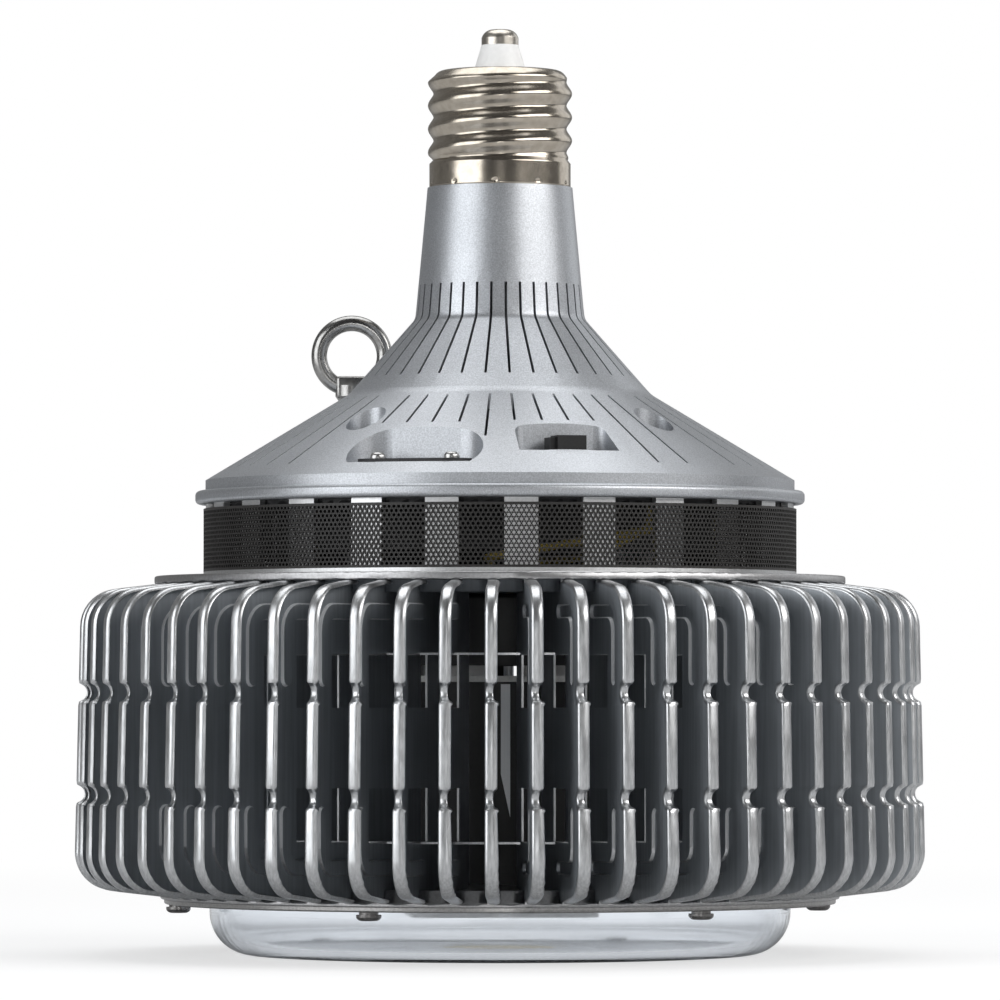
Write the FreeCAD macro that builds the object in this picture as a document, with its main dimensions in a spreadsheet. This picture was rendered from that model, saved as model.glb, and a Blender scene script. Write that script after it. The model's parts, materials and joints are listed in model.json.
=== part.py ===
import FreeCAD, Part
import math
import os
import re
import Sketcher

# High bay LED retrofit lamp, millimetres.
# The tip of the screw base is the origin and the lamp hangs down from it along -Z.
# Azimuths in the sheet are degrees from -Y (the front) toward +X.

SIZES = (
    # screw base
    ("contact_radius", 5.0),
    ("contact_height", 4.2),
    ("insulator_foot_radius", 7.1),
    ("insulator_height", 7.0),
    ("thread_radius", 19.5),
    ("thread_depth", 1.5),
    ("thread_pitch", 6.35),
    ("thread_turns", 3.2),
    ("shell_height", 31.7),
    ("shell_wall", 0.9),
    ("skirt_height", 7.0),
    ("shoulder_round", 2.6),
    # driver housing
    ("neck_top_radius", 19.6),
    ("neck_foot_radius", 22.9),
    ("neck_height", 35.5),
    ("shoulder_radius", 40.9),
    ("shoulder_height", 20.5),
    ("rim_radius", 79.5),
    ("cone_height", 23.2),
    ("rim_height", 2.9),
    ("flange_radius", 82.2),
    ("flange_height", 3.5),
    ("neck_bend", 1.2),
    ("cone_bend", 1.2),
    ("housing_wall", 2.6),
    ("spigot_height", 6.4),
    ("slot_width", 0.7),
    ("upper_slot_count", 36),
    ("lower_slot_pitch", 7.5),
    # pockets in the housing
    ("pocket_wall", 2.0),
    ("port_azimuth", -23.3),
    ("port_radius", 67.5),
    ("port_length", 37.0),
    ("port_width", 18.0),
    ("port_floor", 9.45),
    ("port_cover_length", 31.0),
    ("port_cover_width", 12.0),
    ("port_cover_thickness", 0.9),
    ("port_screw_spacing", 20.5),
    ("socket_azimuth", 11.5),
    ("socket_radius", 63.0),
    ("socket_back", 25.0),
    ("socket_front", 27.4),
    ("socket_depth", 12.0),
    ("socket_floor", 12.5),
    ("socket_shift", 1.0),
    ("socket_length", 7.8),
    ("socket_height", 4.0),
    # bolts that hold the housing down
    ("bolt_circle", 54.0),
    ("bolt_pocket_radius", 5.3),
    ("bolt_floor", 11.0),
    ("bolt_radius", 2.5),
    ("bolt_head_radius", 4.4),
    ("bolt_head_height", 3.0),
    ("bolt_grip", 9.0),
    # safety eye
    ("eye_radius", 9.0),
    ("eye_wire", 2.15),
    ("eye_rise", 30.8),
    # vent between housing and heat sink
    ("vent_height", 18.25),
    ("vent_ring_height", 1.2),
    ("vent_radius", 79.4),
    ("vent_wall", 1.8),
    ("vent_count", 24),
    ("vent_window_angle", 8.6),
    ("mesh_wall", 0.5),
    ("mesh_drop", 1.3),
    ("tray_thickness", 2.0),
    ("screen_radius", 60.4),
    ("screen_wall", 1.0),
    ("screen_gap", 6.2),
    # heat sink
    ("plate_radius", 93.2),
    ("plate_thickness", 2.2),
    ("collar_radius", 89.0),
    ("collar_depth", 3.0),
    ("core_radius", 46.0),
    ("fin_count", 60),
    ("fin_wall", 0.6),
    ("fin_height", 83.15),
    ("fin_top_radius", 113.2),
    ("fin_foot_radius", 114.5),
    ("fin_inner_radius", 62.0),
    ("fin_corner", 10.2),
    ("fin_slope", 6.7),
    ("fin_lip", 3.3),
    ("fin_notch", 2.3),
    ("upper_notch_drop", 29.05),
    ("lower_notch_rise", 26.9),
    ("fin_window_radius", 80.0),
    ("fin_window_width", 20.0),
    ("fin_window_height", 14.0),
    ("upper_tab_drop", 18.65),
    ("lower_tab_rise", 14.8),
    ("fin_tab_width", 6.0),
    ("slit_bite", 0.4),
    ("base_radius", 91.5),
    ("base_rim", 1.4),
    # junction board in the core
    ("board_thickness", 1.6),
    ("core_board_radius", 30.0),
    ("core_board_drop", 24.65),
    ("column_radius", 26.0),
    ("column_wall", 2.0),
    ("cover_wall", 1.5),
    ("cover_height", 22.0),
    ("cover_foot_height", 2.8),
    ("cover_mouth", 7.0),
    ("terminal_spacing", 28.0),
    ("terminal_length", 18.0),
    ("terminal_width", 9.0),
    ("terminal_height", 8.0),
    ("terminal_front", 15.0),
    # driver
    ("driver_board_radius", 46.0),
    ("spacer_circle", 40.0),
    ("spacer_radius", 3.0),
    ("spacer_height", 6.0),
    ("transformer_height", 26.0),
    ("transformer_width", 28.0),
    ("capacitor_radius", 8.0),
    ("capacitor_height", 18.0),
    ("capacitor_circle", 30.0),
    ("choke_radius", 9.0),
    ("lead_radius", 1.1),
    # light source and lens
    ("led_side", 38.0),
    ("led_thickness", 2.0),
    ("led_window_radius", 16.0),
    ("led_pad_thickness", 0.4),
    ("holder_side", 50.0),
    ("holder_height", 4.5),
    ("reflector_radius", 74.0),
    ("reflector_thickness", 0.6),
    ("lens_radius", 78.3),
    ("lens_depth", 15.0),
    ("lens_corner", 11.5),
    ("lens_wall", 2.5),
    ("lens_lip_radius", 84.0),
    ("lens_lip", 1.3),
    ("lens_rabbet", 0.7),
    ("gasket_thickness", 0.4),
    ("lens_ring_radius", 90.5),
    ("lens_ring_thickness", 1.3),
    ("lens_screw_circle", 86.9),
    ("lens_screw_radius", 1.95),
    ("lens_screw_head", 3.3),
    ("lens_screw_count", 6),
    ("lens_screw_crown", 1.6),
    ("washer_height", 0.7),
    # fits
    ("running_gap", 0.1),
    ("loose_gap", 0.3),
)

# Heights on the lamp's axis, each worked out from the one above it.
LEVELS = {
    "shell_top": "0 - contact_height - insulator_height",
    "neck_top": "shell_top - shell_height",
    "housing_height": "flange_height + rim_height + cone_height + shoulder_height + neck_height",
    "housing_foot": "neck_top - housing_height",
    "plate_top": "housing_foot - vent_height - vent_ring_height",
    "fin_top": "plate_top - plate_thickness",
    "fin_foot": "fin_top - fin_height",
    "base_foot": "fin_foot - base_rim",
    "ring_foot": "base_foot - lens_ring_thickness",
    "core_floor": "fin_foot + collar_depth",
    "core_board_foot": "fin_top - core_board_drop - board_thickness",
    "driver_board_foot": "housing_foot + spacer_height",
    "driver_board_top": "driver_board_foot + board_thickness",
    "root_radius": "thread_radius - thread_depth",
    "skirt_radius": "thread_radius - 0.4",
    "slope": "(rim_radius - shoulder_radius) / cone_height",
    "neck_lean": "atan((neck_foot_radius - neck_top_radius) / neck_height)",
    "shoulder_lean": "atan((shoulder_radius - neck_foot_radius) / shoulder_height)",
    "cone_lean": "atan((rim_radius - shoulder_radius) / cone_height)",
    "neck_bend_radius": "neck_bend / tan((shoulder_lean - neck_lean) / 2)",
    "cone_bend_radius": "cone_bend / tan((cone_lean - shoulder_lean) / 2)",
    "rim_level": "flange_height + rim_height",
    "cone_level": "rim_level + cone_height",
    "shoulder_level": "cone_level + shoulder_height",
    "mesh_radius": "vent_radius + running_gap + mesh_wall",
    "tray_radius": "vent_radius - vent_wall - loose_gap",
    "post_height": "vent_ring_height + vent_height - tray_thickness",
    "slit_start": "fin_inner_radius - loose_gap",
    "lip_foot": "base_radius + 1.2",
    "lip_head": "collar_radius + 1.2",
    "corner_reach": "fin_corner * tan(45 - fin_slope / 2)",
    "foot_ease": "(fin_foot_radius - lip_foot) * tan(fin_slope)",
    "head_ease": "(fin_top_radius - plate_radius) * tan(fin_slope)",
    "foot_corner": "foot_ease + corner_reach",
    "head_corner": "fin_height + slit_bite - head_ease - corner_reach",
    "collar_inner": "fin_inner_radius - 1.5",
    "lip_top": "lens_lip - lens_rabbet",
    "lens_screw_azimuth": "5.5 * 360 / fin_count",
    "led_foot": "base_foot - led_pad_thickness - led_thickness",
    "cob_lead_reach": "(holder_side + led_side) / 4",
    "terminal_reach": "(terminal_spacing + terminal_length) / 2",
    "cover_bore": "sqrt(terminal_reach * terminal_reach + terminal_front * terminal_front) + loose_gap",
    "cover_radius": "cover_bore + cover_wall",
    "terminal_level": "core_board_foot + board_thickness + terminal_height / 2",
}

doc = FreeCAD.newDocument("HighBayLamp")
sheet = doc.addObject("Spreadsheet::Sheet", "Sizes")
for row, (alias, number) in enumerate(SIZES, 1):
    sheet.set(f"A{row}", alias)
    sheet.set(f"B{row}", str(number))
    sheet.setAlias(f"B{row}", alias)
doc.recompute()

SIZE_NAMES = {alias for alias, number in SIZES}
WORD = re.compile(r"[A-Za-z_]\w*")
Z_AXIS = FreeCAD.Vector(0, 0, 1)


def formula(text):
    """Expression text with every size read from the sheet and every level written out."""

    def swap(match):
        word = match.group(0)
        if word in SIZE_NAMES:
            return "Sizes." + word
        if word in LEVELS:
            return "(" + formula(LEVELS[word]) + ")"
        return word

    return WORD.sub(swap, str(text))


def value(text):
    return float(sheet.evalExpression(formula(text)))


def bind(thing, prop, text):
    thing.setExpression(prop, formula(text))


def datum(body, role):
    return next(item for item in body.Origin.OriginFeatures if item.Role == role)


def new_body(label, level="0", turn=None, many=False):
    """A body at a height on the axis, turned about it; many allows separate solids."""
    body = doc.addObject("PartDesign::Body", label)
    body.Label = label
    body.AllowCompound = many
    body.Placement = FreeCAD.Placement(FreeCAD.Vector(0, 0, 0), FreeCAD.Rotation(Z_AXIS, 0))
    bind(body, "Placement.Base.z", level)
    if turn is not None:
        bind(body, "Placement.Rotation.Angle", turn)
    return body


def new_sketch(body, label, role, lift="0", shift="0", turn=None):
    """A sketch on one of the body's planes, lifted off it, shifted along its X or turned about Z."""
    sketch = body.newObject("Sketcher::SketchObject", label)
    sketch.AttachmentSupport = (datum(body, role), [""])
    sketch.MapMode = "FlatFace"
    if turn is None:
        bind(sketch, "AttachmentOffset.Base.z", lift)
        bind(sketch, "AttachmentOffset.Base.x", shift)
    else:
        spin = FreeCAD.Rotation(FreeCAD.Vector(0, 1, 0), value(turn))
        sketch.AttachmentOffset = FreeCAD.Placement(FreeCAD.Vector(0, 0, 0), spin)
        bind(sketch, "AttachmentOffset.Rotation.Angle", turn)
        bind(sketch, "AttachmentOffset.Base.x", f"({lift}) * sin({turn})")
        bind(sketch, "AttachmentOffset.Base.z", f"({lift}) * cos({turn})")
    return sketch


def pin_point(sketch, curve, end, x, y):
    """Hold one end of a curve at x, y by dimensions bound to the sheet."""
    for axis, kind, text in ((-2, "DistanceX", x), (-1, "DistanceY", y)):
        if text == "0":
            sketch.addConstraint(Sketcher.Constraint("PointOnObject", curve, end, axis))
        else:
            rule = Sketcher.Constraint(kind, -1, 1, curve, end, value(text))
            bind(sketch, f"Constraints[{sketch.addConstraint(rule)}]", text)


def trace(sketch, corners):
    """A closed outline through corners (x, y); a third entry is the radius of the arc that
    leads to the corner, minus when the arc turns clockwise."""
    points = [FreeCAD.Vector(value(c[0]), value(c[1]), 0) for c in corners]
    heads = []
    tails = []
    for index, corner in enumerate(corners):
        start = points[index - 1]
        end = points[index]
        if len(corner) == 2:
            curve = sketch.addGeometry(Part.LineSegment(start, end))
            heads.append((curve, 1))
            tails.append((curve, 2))
            continue
        radius = value(corner[2])
        chord = end - start
        left = FreeCAD.Vector(-chord.y, chord.x, 0).normalize()
        rise = math.sqrt(max(radius * radius - chord.Length * chord.Length / 4, 0))
        centre = (start + end) * 0.5 + left * math.copysign(rise, radius)
        first, last = (start, end) if radius > 0 else (end, start)
        begin = math.atan2(first.y - centre.y, first.x - centre.x)
        finish = math.atan2(last.y - centre.y, last.x - centre.x)
        if finish < begin:
            finish += 2 * math.pi
        whole = Part.Circle(centre, Z_AXIS, abs(radius))
        curve = sketch.addGeometry(Part.ArcOfCircle(whole, begin, finish))
        heads.append((curve, 1 if radius > 0 else 2))
        tails.append((curve, 2 if radius > 0 else 1))
        size = corner[2].lstrip("-")
        rule = Sketcher.Constraint("Radius", curve, abs(radius))
        bind(sketch, f"Constraints[{sketch.addConstraint(rule)}]", size)
    for index, corner in enumerate(corners):
        following = (index + 1) % len(corners)
        sketch.addConstraint(Sketcher.Constraint("Coincident", *tails[index], *heads[following]))
        pin_point(sketch, *tails[index], corner[0], corner[1])


def circle(sketch, x, y, radius):
    centre = FreeCAD.Vector(value(x), value(y), 0)
    curve = sketch.addGeometry(Part.Circle(centre, Z_AXIS, value(radius)))
    pin_point(sketch, curve, 3, x, y)
    rule = Sketcher.Constraint("Radius", curve, value(radius))
    bind(sketch, f"Constraints[{sketch.addConstraint(rule)}]", radius)


def box_corners(x0, y0, x1, y1):
    return [(x0, y0), (x1, y0), (x1, y1), (x0, y1)]


def extrude(body, kind, label, sketch, length, upward=True):
    """A pad or a pocket from a sketch; upward follows the sketch's own normal."""
    feature = body.newObject("PartDesign::" + kind, label)
    feature.Profile = sketch
    feature.Reversed = upward == (kind == "Pocket")
    bind(feature, "Length", length)
    body.Tip = feature
    return feature


def revolve(body, kind, label, sketch, axis="V_Axis"):
    feature = body.newObject("PartDesign::" + kind, label)
    feature.Profile = sketch
    feature.ReferenceAxis = (sketch, [axis])
    feature.Angle = 360
    body.Tip = feature
    return feature


def repeat(body, label, features, count, angle="360"):
    """The features again round the Z axis, count times over the angle."""
    pattern = body.newObject("PartDesign::PolarPattern", label)
    pattern.Originals = features
    pattern.Axis = (datum(body, "Z_Axis"), [""])
    bind(pattern, "Angle", angle)
    bind(pattern, "Occurrences", count)
    body.Tip = pattern
    return pattern


def turned(label, level, corners, turn=None):
    """A piece turned about the lamp's axis from a half section of (radius, height)."""
    body = new_body(label, level, turn)
    sketch = new_sketch(body, label + "_section", "XZ_Plane")
    trace(sketch, corners)
    revolve(body, "Revolution", label + "_turn", sketch)
    return body


def turned_group(label, level, corners, circle_radius, count, turn):
    """Equal turned pieces standing on a circle about the lamp's axis."""
    body = new_body(label, level, turn, many=True)
    sketch = new_sketch(body, label + "_section", "XZ_Plane", shift=circle_radius)
    trace(sketch, corners)
    one = revolve(body, "Revolution", label + "_turn", sketch)
    repeat(body, label + "_ring", [one], count)
    return body


def screw_base():
    turned("center_contact", "0 - contact_height", [
        ("0", "0 - 3"),
        ("1.5", "0 - 3"),
        ("1.5", "0"),
        ("contact_radius", "0"),
        ("contact_radius", "contact_height * 0.45"),
        ("contact_radius * 0.5", "contact_height", "contact_height * 0.75"),
        ("0", "contact_height"),
    ])
    turned("base_insulator", "shell_top", [
        ("1.5", "0 - 3.4"),
        ("root_radius - shell_wall", "0 - 3.4"),
        ("root_radius - shell_wall", "0 - shell_wall - 1"),
        ("root_radius - shell_wall - 1", "0 - shell_wall"),
        ("insulator_foot_radius", "0 - shell_wall"),
        ("insulator_foot_radius", "0"),
        ("contact_radius", "insulator_height"),
        ("1.5", "insulator_height"),
    ])
    body = turned("screw_shell", "neck_top", [
        ("root_radius - shell_wall", "0"),
        ("skirt_radius", "0"),
        ("skirt_radius", "skirt_height - 0.5"),
        ("root_radius", "skirt_height + 0.5"),
        ("root_radius", "shell_height - shoulder_round"),
        ("root_radius - shoulder_round", "shell_height", "shoulder_round"),
        ("insulator_foot_radius", "shell_height"),
        ("insulator_foot_radius", "shell_height - shell_wall"),
        ("root_radius - shell_wall - 1", "shell_height - shell_wall"),
        ("root_radius - shell_wall", "shell_height - shell_wall - 1"),
    ])
    ridge = new_sketch(body, "thread_section", "XZ_Plane")
    trace(ridge, [
        ("root_radius - 0.4", "skirt_height - 0.6"),
        ("root_radius - 0.4", "skirt_height + thread_pitch * 0.62 - 0.6"),
        ("root_radius", "skirt_height + thread_pitch * 0.56 - 0.6"),
        ("thread_radius", "skirt_height + thread_pitch * 0.31 - 0.6", "thread_depth * 2.2"),
        ("root_radius", "skirt_height + thread_pitch * 0.06 - 0.6", "thread_depth * 2.2"),
    ])
    thread = body.newObject("PartDesign::AdditiveHelix", "rolled_thread")
    thread.Profile = ridge
    thread.ReferenceAxis = (ridge, ["V_Axis"])
    thread.Mode = "pitch-turns-angle"
    bind(thread, "Pitch", "thread_pitch")
    bind(thread, "Turns", "thread_turns")
    body.Tip = thread


def slot_run(body, label, corners, first, count, pitch):
    """Narrow cuts through the housing wall, from an azimuth on and one pitch apart."""
    turn = f"{first} - 90"
    sketch = new_sketch(body, label + "_section", "XZ_Plane", lift="slot_width / 2", turn=turn)
    trace(sketch, corners)
    cut = extrude(body, "Pocket", label + "_cut", sketch, "slot_width", upward=False)
    if count != "1":
        repeat(body, label + "_run", [cut], count, f"({pitch}) * (({count}) - 1)")


def driver_housing():
    body = new_body("driver_housing", "housing_foot")
    section = new_sketch(body, "housing_section", "XZ_Plane")
    outside = [
        ("flange_radius - 1.2", "0"),
        ("flange_radius", "1.2", "1.2"),
        ("flange_radius", "flange_height - 1.2"),
        ("flange_radius - 1.2", "flange_height", "1.2"),
        ("rim_radius", "flange_height"),
        ("rim_radius", "rim_level"),
        ("shoulder_radius + cone_bend * sin(cone_lean)", "cone_level - cone_bend * cos(cone_lean)"),
        ("shoulder_radius - cone_bend * sin(shoulder_lean)", "cone_level + cone_bend * cos(shoulder_lean)",
         "-(cone_bend_radius)"),
        ("neck_foot_radius + neck_bend * sin(shoulder_lean)", "shoulder_level - neck_bend * cos(shoulder_lean)"),
        ("neck_foot_radius - neck_bend * sin(neck_lean)", "shoulder_level + neck_bend * cos(neck_lean)",
         "-(neck_bend_radius)"),
        ("neck_top_radius", "housing_height"),
    ]
    trace(section, outside + [
        ("root_radius - shell_wall", "housing_height"),
        ("root_radius - shell_wall", "housing_height + spigot_height"),
        ("root_radius - shell_wall - 1.6", "housing_height + spigot_height"),
        ("root_radius - shell_wall - 1.6", "housing_height - 3"),
        ("neck_foot_radius - housing_wall", "shoulder_level - 1"),
        ("shoulder_radius - housing_wall", "cone_level - housing_wall"),
        ("rim_radius - housing_wall", "rim_level - housing_wall"),
        ("rim_radius - housing_wall", "0"),
    ])
    revolve(body, "Revolution", "housing_shell", section)

    # walls of the pockets, run up through the cone and then trimmed back to it
    bosses = new_sketch(body, "boss_plan", "XY_Plane")
    reach = "bolt_circle * 0.70710678"
    for x, y in ((1, 1), (1, -1), (-1, 1), (-1, -1)):
        circle(bosses, f"{x} * {reach}", f"{y} * {reach}", "bolt_pocket_radius + pocket_wall")
    extrude(body, "Pad", "bosses", bosses, "cone_level")
    port = new_sketch(body, "port_wall_plan", "XY_Plane", lift="port_floor - pocket_wall")
    trace(port, port_plan("pocket_wall"))
    extrude(body, "Pad", "port_wall", port, "16")
    socket = new_sketch(body, "socket_wall_plan", "XY_Plane", lift="socket_floor - pocket_wall")
    trace(socket, socket_plan("pocket_wall"))
    extrude(body, "Pad", "socket_wall", socket, "14")
    trim = new_sketch(body, "trim_section", "XZ_Plane")
    trace(trim, outside[5:9] + [("flange_radius + 40", "shoulder_level"), ("flange_radius + 40", "rim_level")])
    revolve(body, "Groove", "trim_to_cone", trim)

    # the pockets themselves and the clearance holes for the bolts
    port = new_sketch(body, "port_plan", "XY_Plane", lift="port_floor")
    trace(port, port_plan("0"))
    extrude(body, "Pocket", "port_pocket", port, "30")
    socket = new_sketch(body, "socket_plan", "XY_Plane", lift="socket_floor")
    trace(socket, socket_plan("0"))
    extrude(body, "Pocket", "socket_pocket", socket, "30")
    wells = new_sketch(body, "well_plan", "XY_Plane", lift="bolt_floor")
    holes = new_sketch(body, "bolt_hole_plan", "XY_Plane")
    for x, y in ((1, 1), (1, -1), (-1, 1), (-1, -1)):
        circle(wells, f"{x} * {reach}", f"{y} * {reach}", "bolt_pocket_radius")
        circle(holes, f"{x} * {reach}", f"{y} * {reach}", "bolt_radius + loose_gap")
    extrude(body, "Pocket", "bolt_wells", wells, "30")
    extrude(body, "Pocket", "bolt_holes", holes, "bolt_floor + 1")

    # upper slots run from the neck onto the first cone, lower slots down the second
    slot_run(body, "upper_slot", [
        ("neck_foot_radius - 6", "shoulder_level + 9"),
        ("neck_foot_radius + 2", "shoulder_level + 9"),
        ("neck_foot_radius + 2", "shoulder_level + 1"),
        ("shoulder_radius", "cone_level + shoulder_height * 0.22"),
        ("shoulder_radius - 11", "cone_level + shoulder_height * 0.22"),
        ("neck_foot_radius - 6", "shoulder_level"),
    ], "0", "upper_slot_count", "360 / upper_slot_count")
    for label, first, count, share in (
        ("right_slot", 4, 2, 0.84),
        ("right_back_slot", 7, 11, 0.84),
        ("back_slot", 19, 11, 0.84),
        ("left_back_slot", 31, 11, 0.84),
        ("port_slot", -5, 4, 0.37),
        ("middle_slot", -1, 1, 0.54),
        ("socket_slot", 0, 4, 0.35),
    ):
        high = "(cone_level - cone_height * 0.08)"
        low = f"(cone_level - cone_height * {share})"
        slot_run(body, label, [
            (f"shoulder_radius + slope * (cone_level - {high}) - 1", f"{high} + 4"),
            (f"shoulder_radius + slope * (cone_level - {high}) + 6", f"{high} + 4"),
            (f"shoulder_radius + slope * (cone_level - {low}) + 1", f"{low} + 4"),
            (f"shoulder_radius + slope * (cone_level - {low}) + 1", f"{low} - 5"),
            (f"shoulder_radius + slope * (cone_level - {high}) - 1", f"{high} - 7"),
        ], f"({first} * lower_slot_pitch)", str(count), "lower_slot_pitch")


def long_plan(length, width):
    """Corners of a long plan with round ends, across and inward of its own middle."""
    flat = f"({length} / 2 - {width} / 2)"
    half = f"({width} / 2)"
    return [
        (f"0 - {flat}", f"0 - {half}", half),
        (flat, f"0 - {half}"),
        (f"{flat} + {half}", "0", half),
        (flat, half, half),
        (f"0 - {flat}", half),
        (f"0 - {flat} - {half}", "0", half),
    ]


def port_plan(extra):
    """Plan of the left pocket, widened all round by the extra."""
    corners = long_plan(f"(port_length + 2 * {extra})", f"(port_width + 2 * {extra})")
    return turned_plan("port_azimuth", "port_radius", corners)


def socket_plan(extra):
    """Tapering plan of the right pocket, narrow toward the axis."""
    return turned_plan("socket_azimuth", "socket_radius", [
        (f"0 - socket_front / 2 - {extra}", f"0 - socket_depth / 2 - {extra}"),
        (f"socket_front / 2 + {extra}", f"0 - socket_depth / 2 - {extra}"),
        (f"socket_back / 2 + {extra}", f"socket_depth / 2 + {extra} - 3"),
        (f"socket_back / 2 + {extra} - 3", f"socket_depth / 2 + {extra}", "3"),
        (f"0 - socket_back / 2 - {extra} + 3", f"socket_depth / 2 + {extra}"),
        (f"0 - socket_back / 2 - {extra}", f"socket_depth / 2 + {extra} - 3", "3"),
    ])


def turned_plan(azimuth, radius, corners):
    """Corners given across and inward of a point at an azimuth and radius, in lamp axes."""
    result = []
    for corner in corners:
        across, inward = corner[0], corner[1]
        x = f"({radius} - ({inward})) * sin({azimuth}) + ({across}) * cos({azimuth})"
        y = f"({across}) * sin({azimuth}) - ({radius} - ({inward})) * cos({azimuth})"
        result.append((x, y) + corner[2:])
    return result


def housing_fittings():
    length = "bolt_floor + tray_thickness + bolt_grip"
    body = new_body("housing_screws", "housing_foot + bolt_floor", "0 - 135", many=True)
    section = new_sketch(body, "housing_screw_section", "XZ_Plane", shift="bolt_circle")
    trace(section, [
        ("0", f"0 - ({length})"),
        ("bolt_radius", f"0 - ({length})"),
        ("bolt_radius", "0"),
        ("bolt_head_radius", "0"),
        ("bolt_head_radius", "bolt_head_height * 0.5"),
        ("bolt_head_radius * 0.5", "bolt_head_height", "bolt_head_radius"),
        ("0", "bolt_head_height"),
    ])
    screw = revolve(body, "Revolution", "housing_screw", section)
    repeat(body, "housing_screw_ring", [screw], "3", "180")

    # the eye stands in the fourth well, its opening facing front and back
    rise = "bolt_floor + eye_rise"
    body = new_body("eye_bolt", f"housing_foot + {rise}")
    bind(body, "Placement.Base.x", "0 - bolt_circle * 0.70710678")
    bind(body, "Placement.Base.y", "bolt_circle * 0.70710678")
    section = new_sketch(body, "eye_section", "XY_Plane")
    circle(section, "eye_radius", "0", "eye_wire")
    revolve(body, "Revolution", "eye", section)
    section = new_sketch(body, "eye_shank_section", "XZ_Plane")
    foot = f"0 - eye_rise - ({length})"
    trace(section, [
        ("0", foot),
        ("bolt_radius", foot),
        ("bolt_radius", "0 - eye_rise"),
        ("eye_wire * 1.9", "0 - eye_rise"),
        ("eye_wire * 1.9", "0 - eye_rise + 1.5"),
        ("eye_wire * 1.4", "0 - eye_rise + 3"),
        ("eye_wire * 1.4", "0 - eye_radius - eye_wire * 2"),
        ("eye_wire * 2.1", "0 - eye_radius - eye_wire"),
        ("eye_wire * 2.1", "0 - eye_radius + eye_wire * 0.4"),
        ("0", "0 - eye_radius + eye_wire * 0.4"),
    ])
    revolve(body, "Revolution", "eye_shank", section)

    body = new_body("port_cover", "housing_foot + port_floor", "port_azimuth")
    plan = new_sketch(body, "port_cover_plan", "XY_Plane")
    trace(plan, turned_plan("0", "port_radius", long_plan("port_cover_length", "port_cover_width")))
    extrude(body, "Pad", "port_cover_sheet", plan, "port_cover_thickness")

    body = new_body("port_screws", "housing_foot + port_floor + port_cover_thickness", "port_azimuth", many=True)
    plan = new_sketch(body, "port_screw_plan", "XY_Plane")
    for side in (-1, 1):
        circle(plan, f"{side} * port_screw_spacing / 2", "0 - port_radius", "2.1")
    extrude(body, "Pad", "port_screw_heads", plan, "1.8")
    doc.recompute()
    tip = body.Tip
    rims = [
        f"Edge{index}" for index, edge in enumerate(tip.Shape.Edges, 1)
        if isinstance(edge.Curve, Part.Circle) and edge.Curve.Center.z > 1
    ]
    crown = body.newObject("PartDesign::Fillet", "port_screw_crowns")
    crown.Base = (tip, rims)
    crown.Radius = 1.2
    body.Tip = crown

    body = new_body("control_socket", "housing_foot + socket_floor", "socket_azimuth")
    plan = new_sketch(body, "socket_block_plan", "XY_Plane")
    left = "socket_shift - socket_length / 2"
    right = "socket_shift + socket_length / 2"
    trace(plan, box_corners(left, "0 - socket_radius - 4", right, "0 - socket_radius + 3"))
    extrude(body, "Pad", "socket_block", plan, "socket_height")
    plan = new_sketch(body, "socket_side_plan", "XY_Plane")
    edge = f"{left} - 1.7"
    trace(plan, box_corners(edge, "0 - socket_radius - 2.6", left, "0 - socket_radius + 3"))
    extrude(body, "Pad", "socket_side", plan, "socket_height * 0.86")


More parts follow.
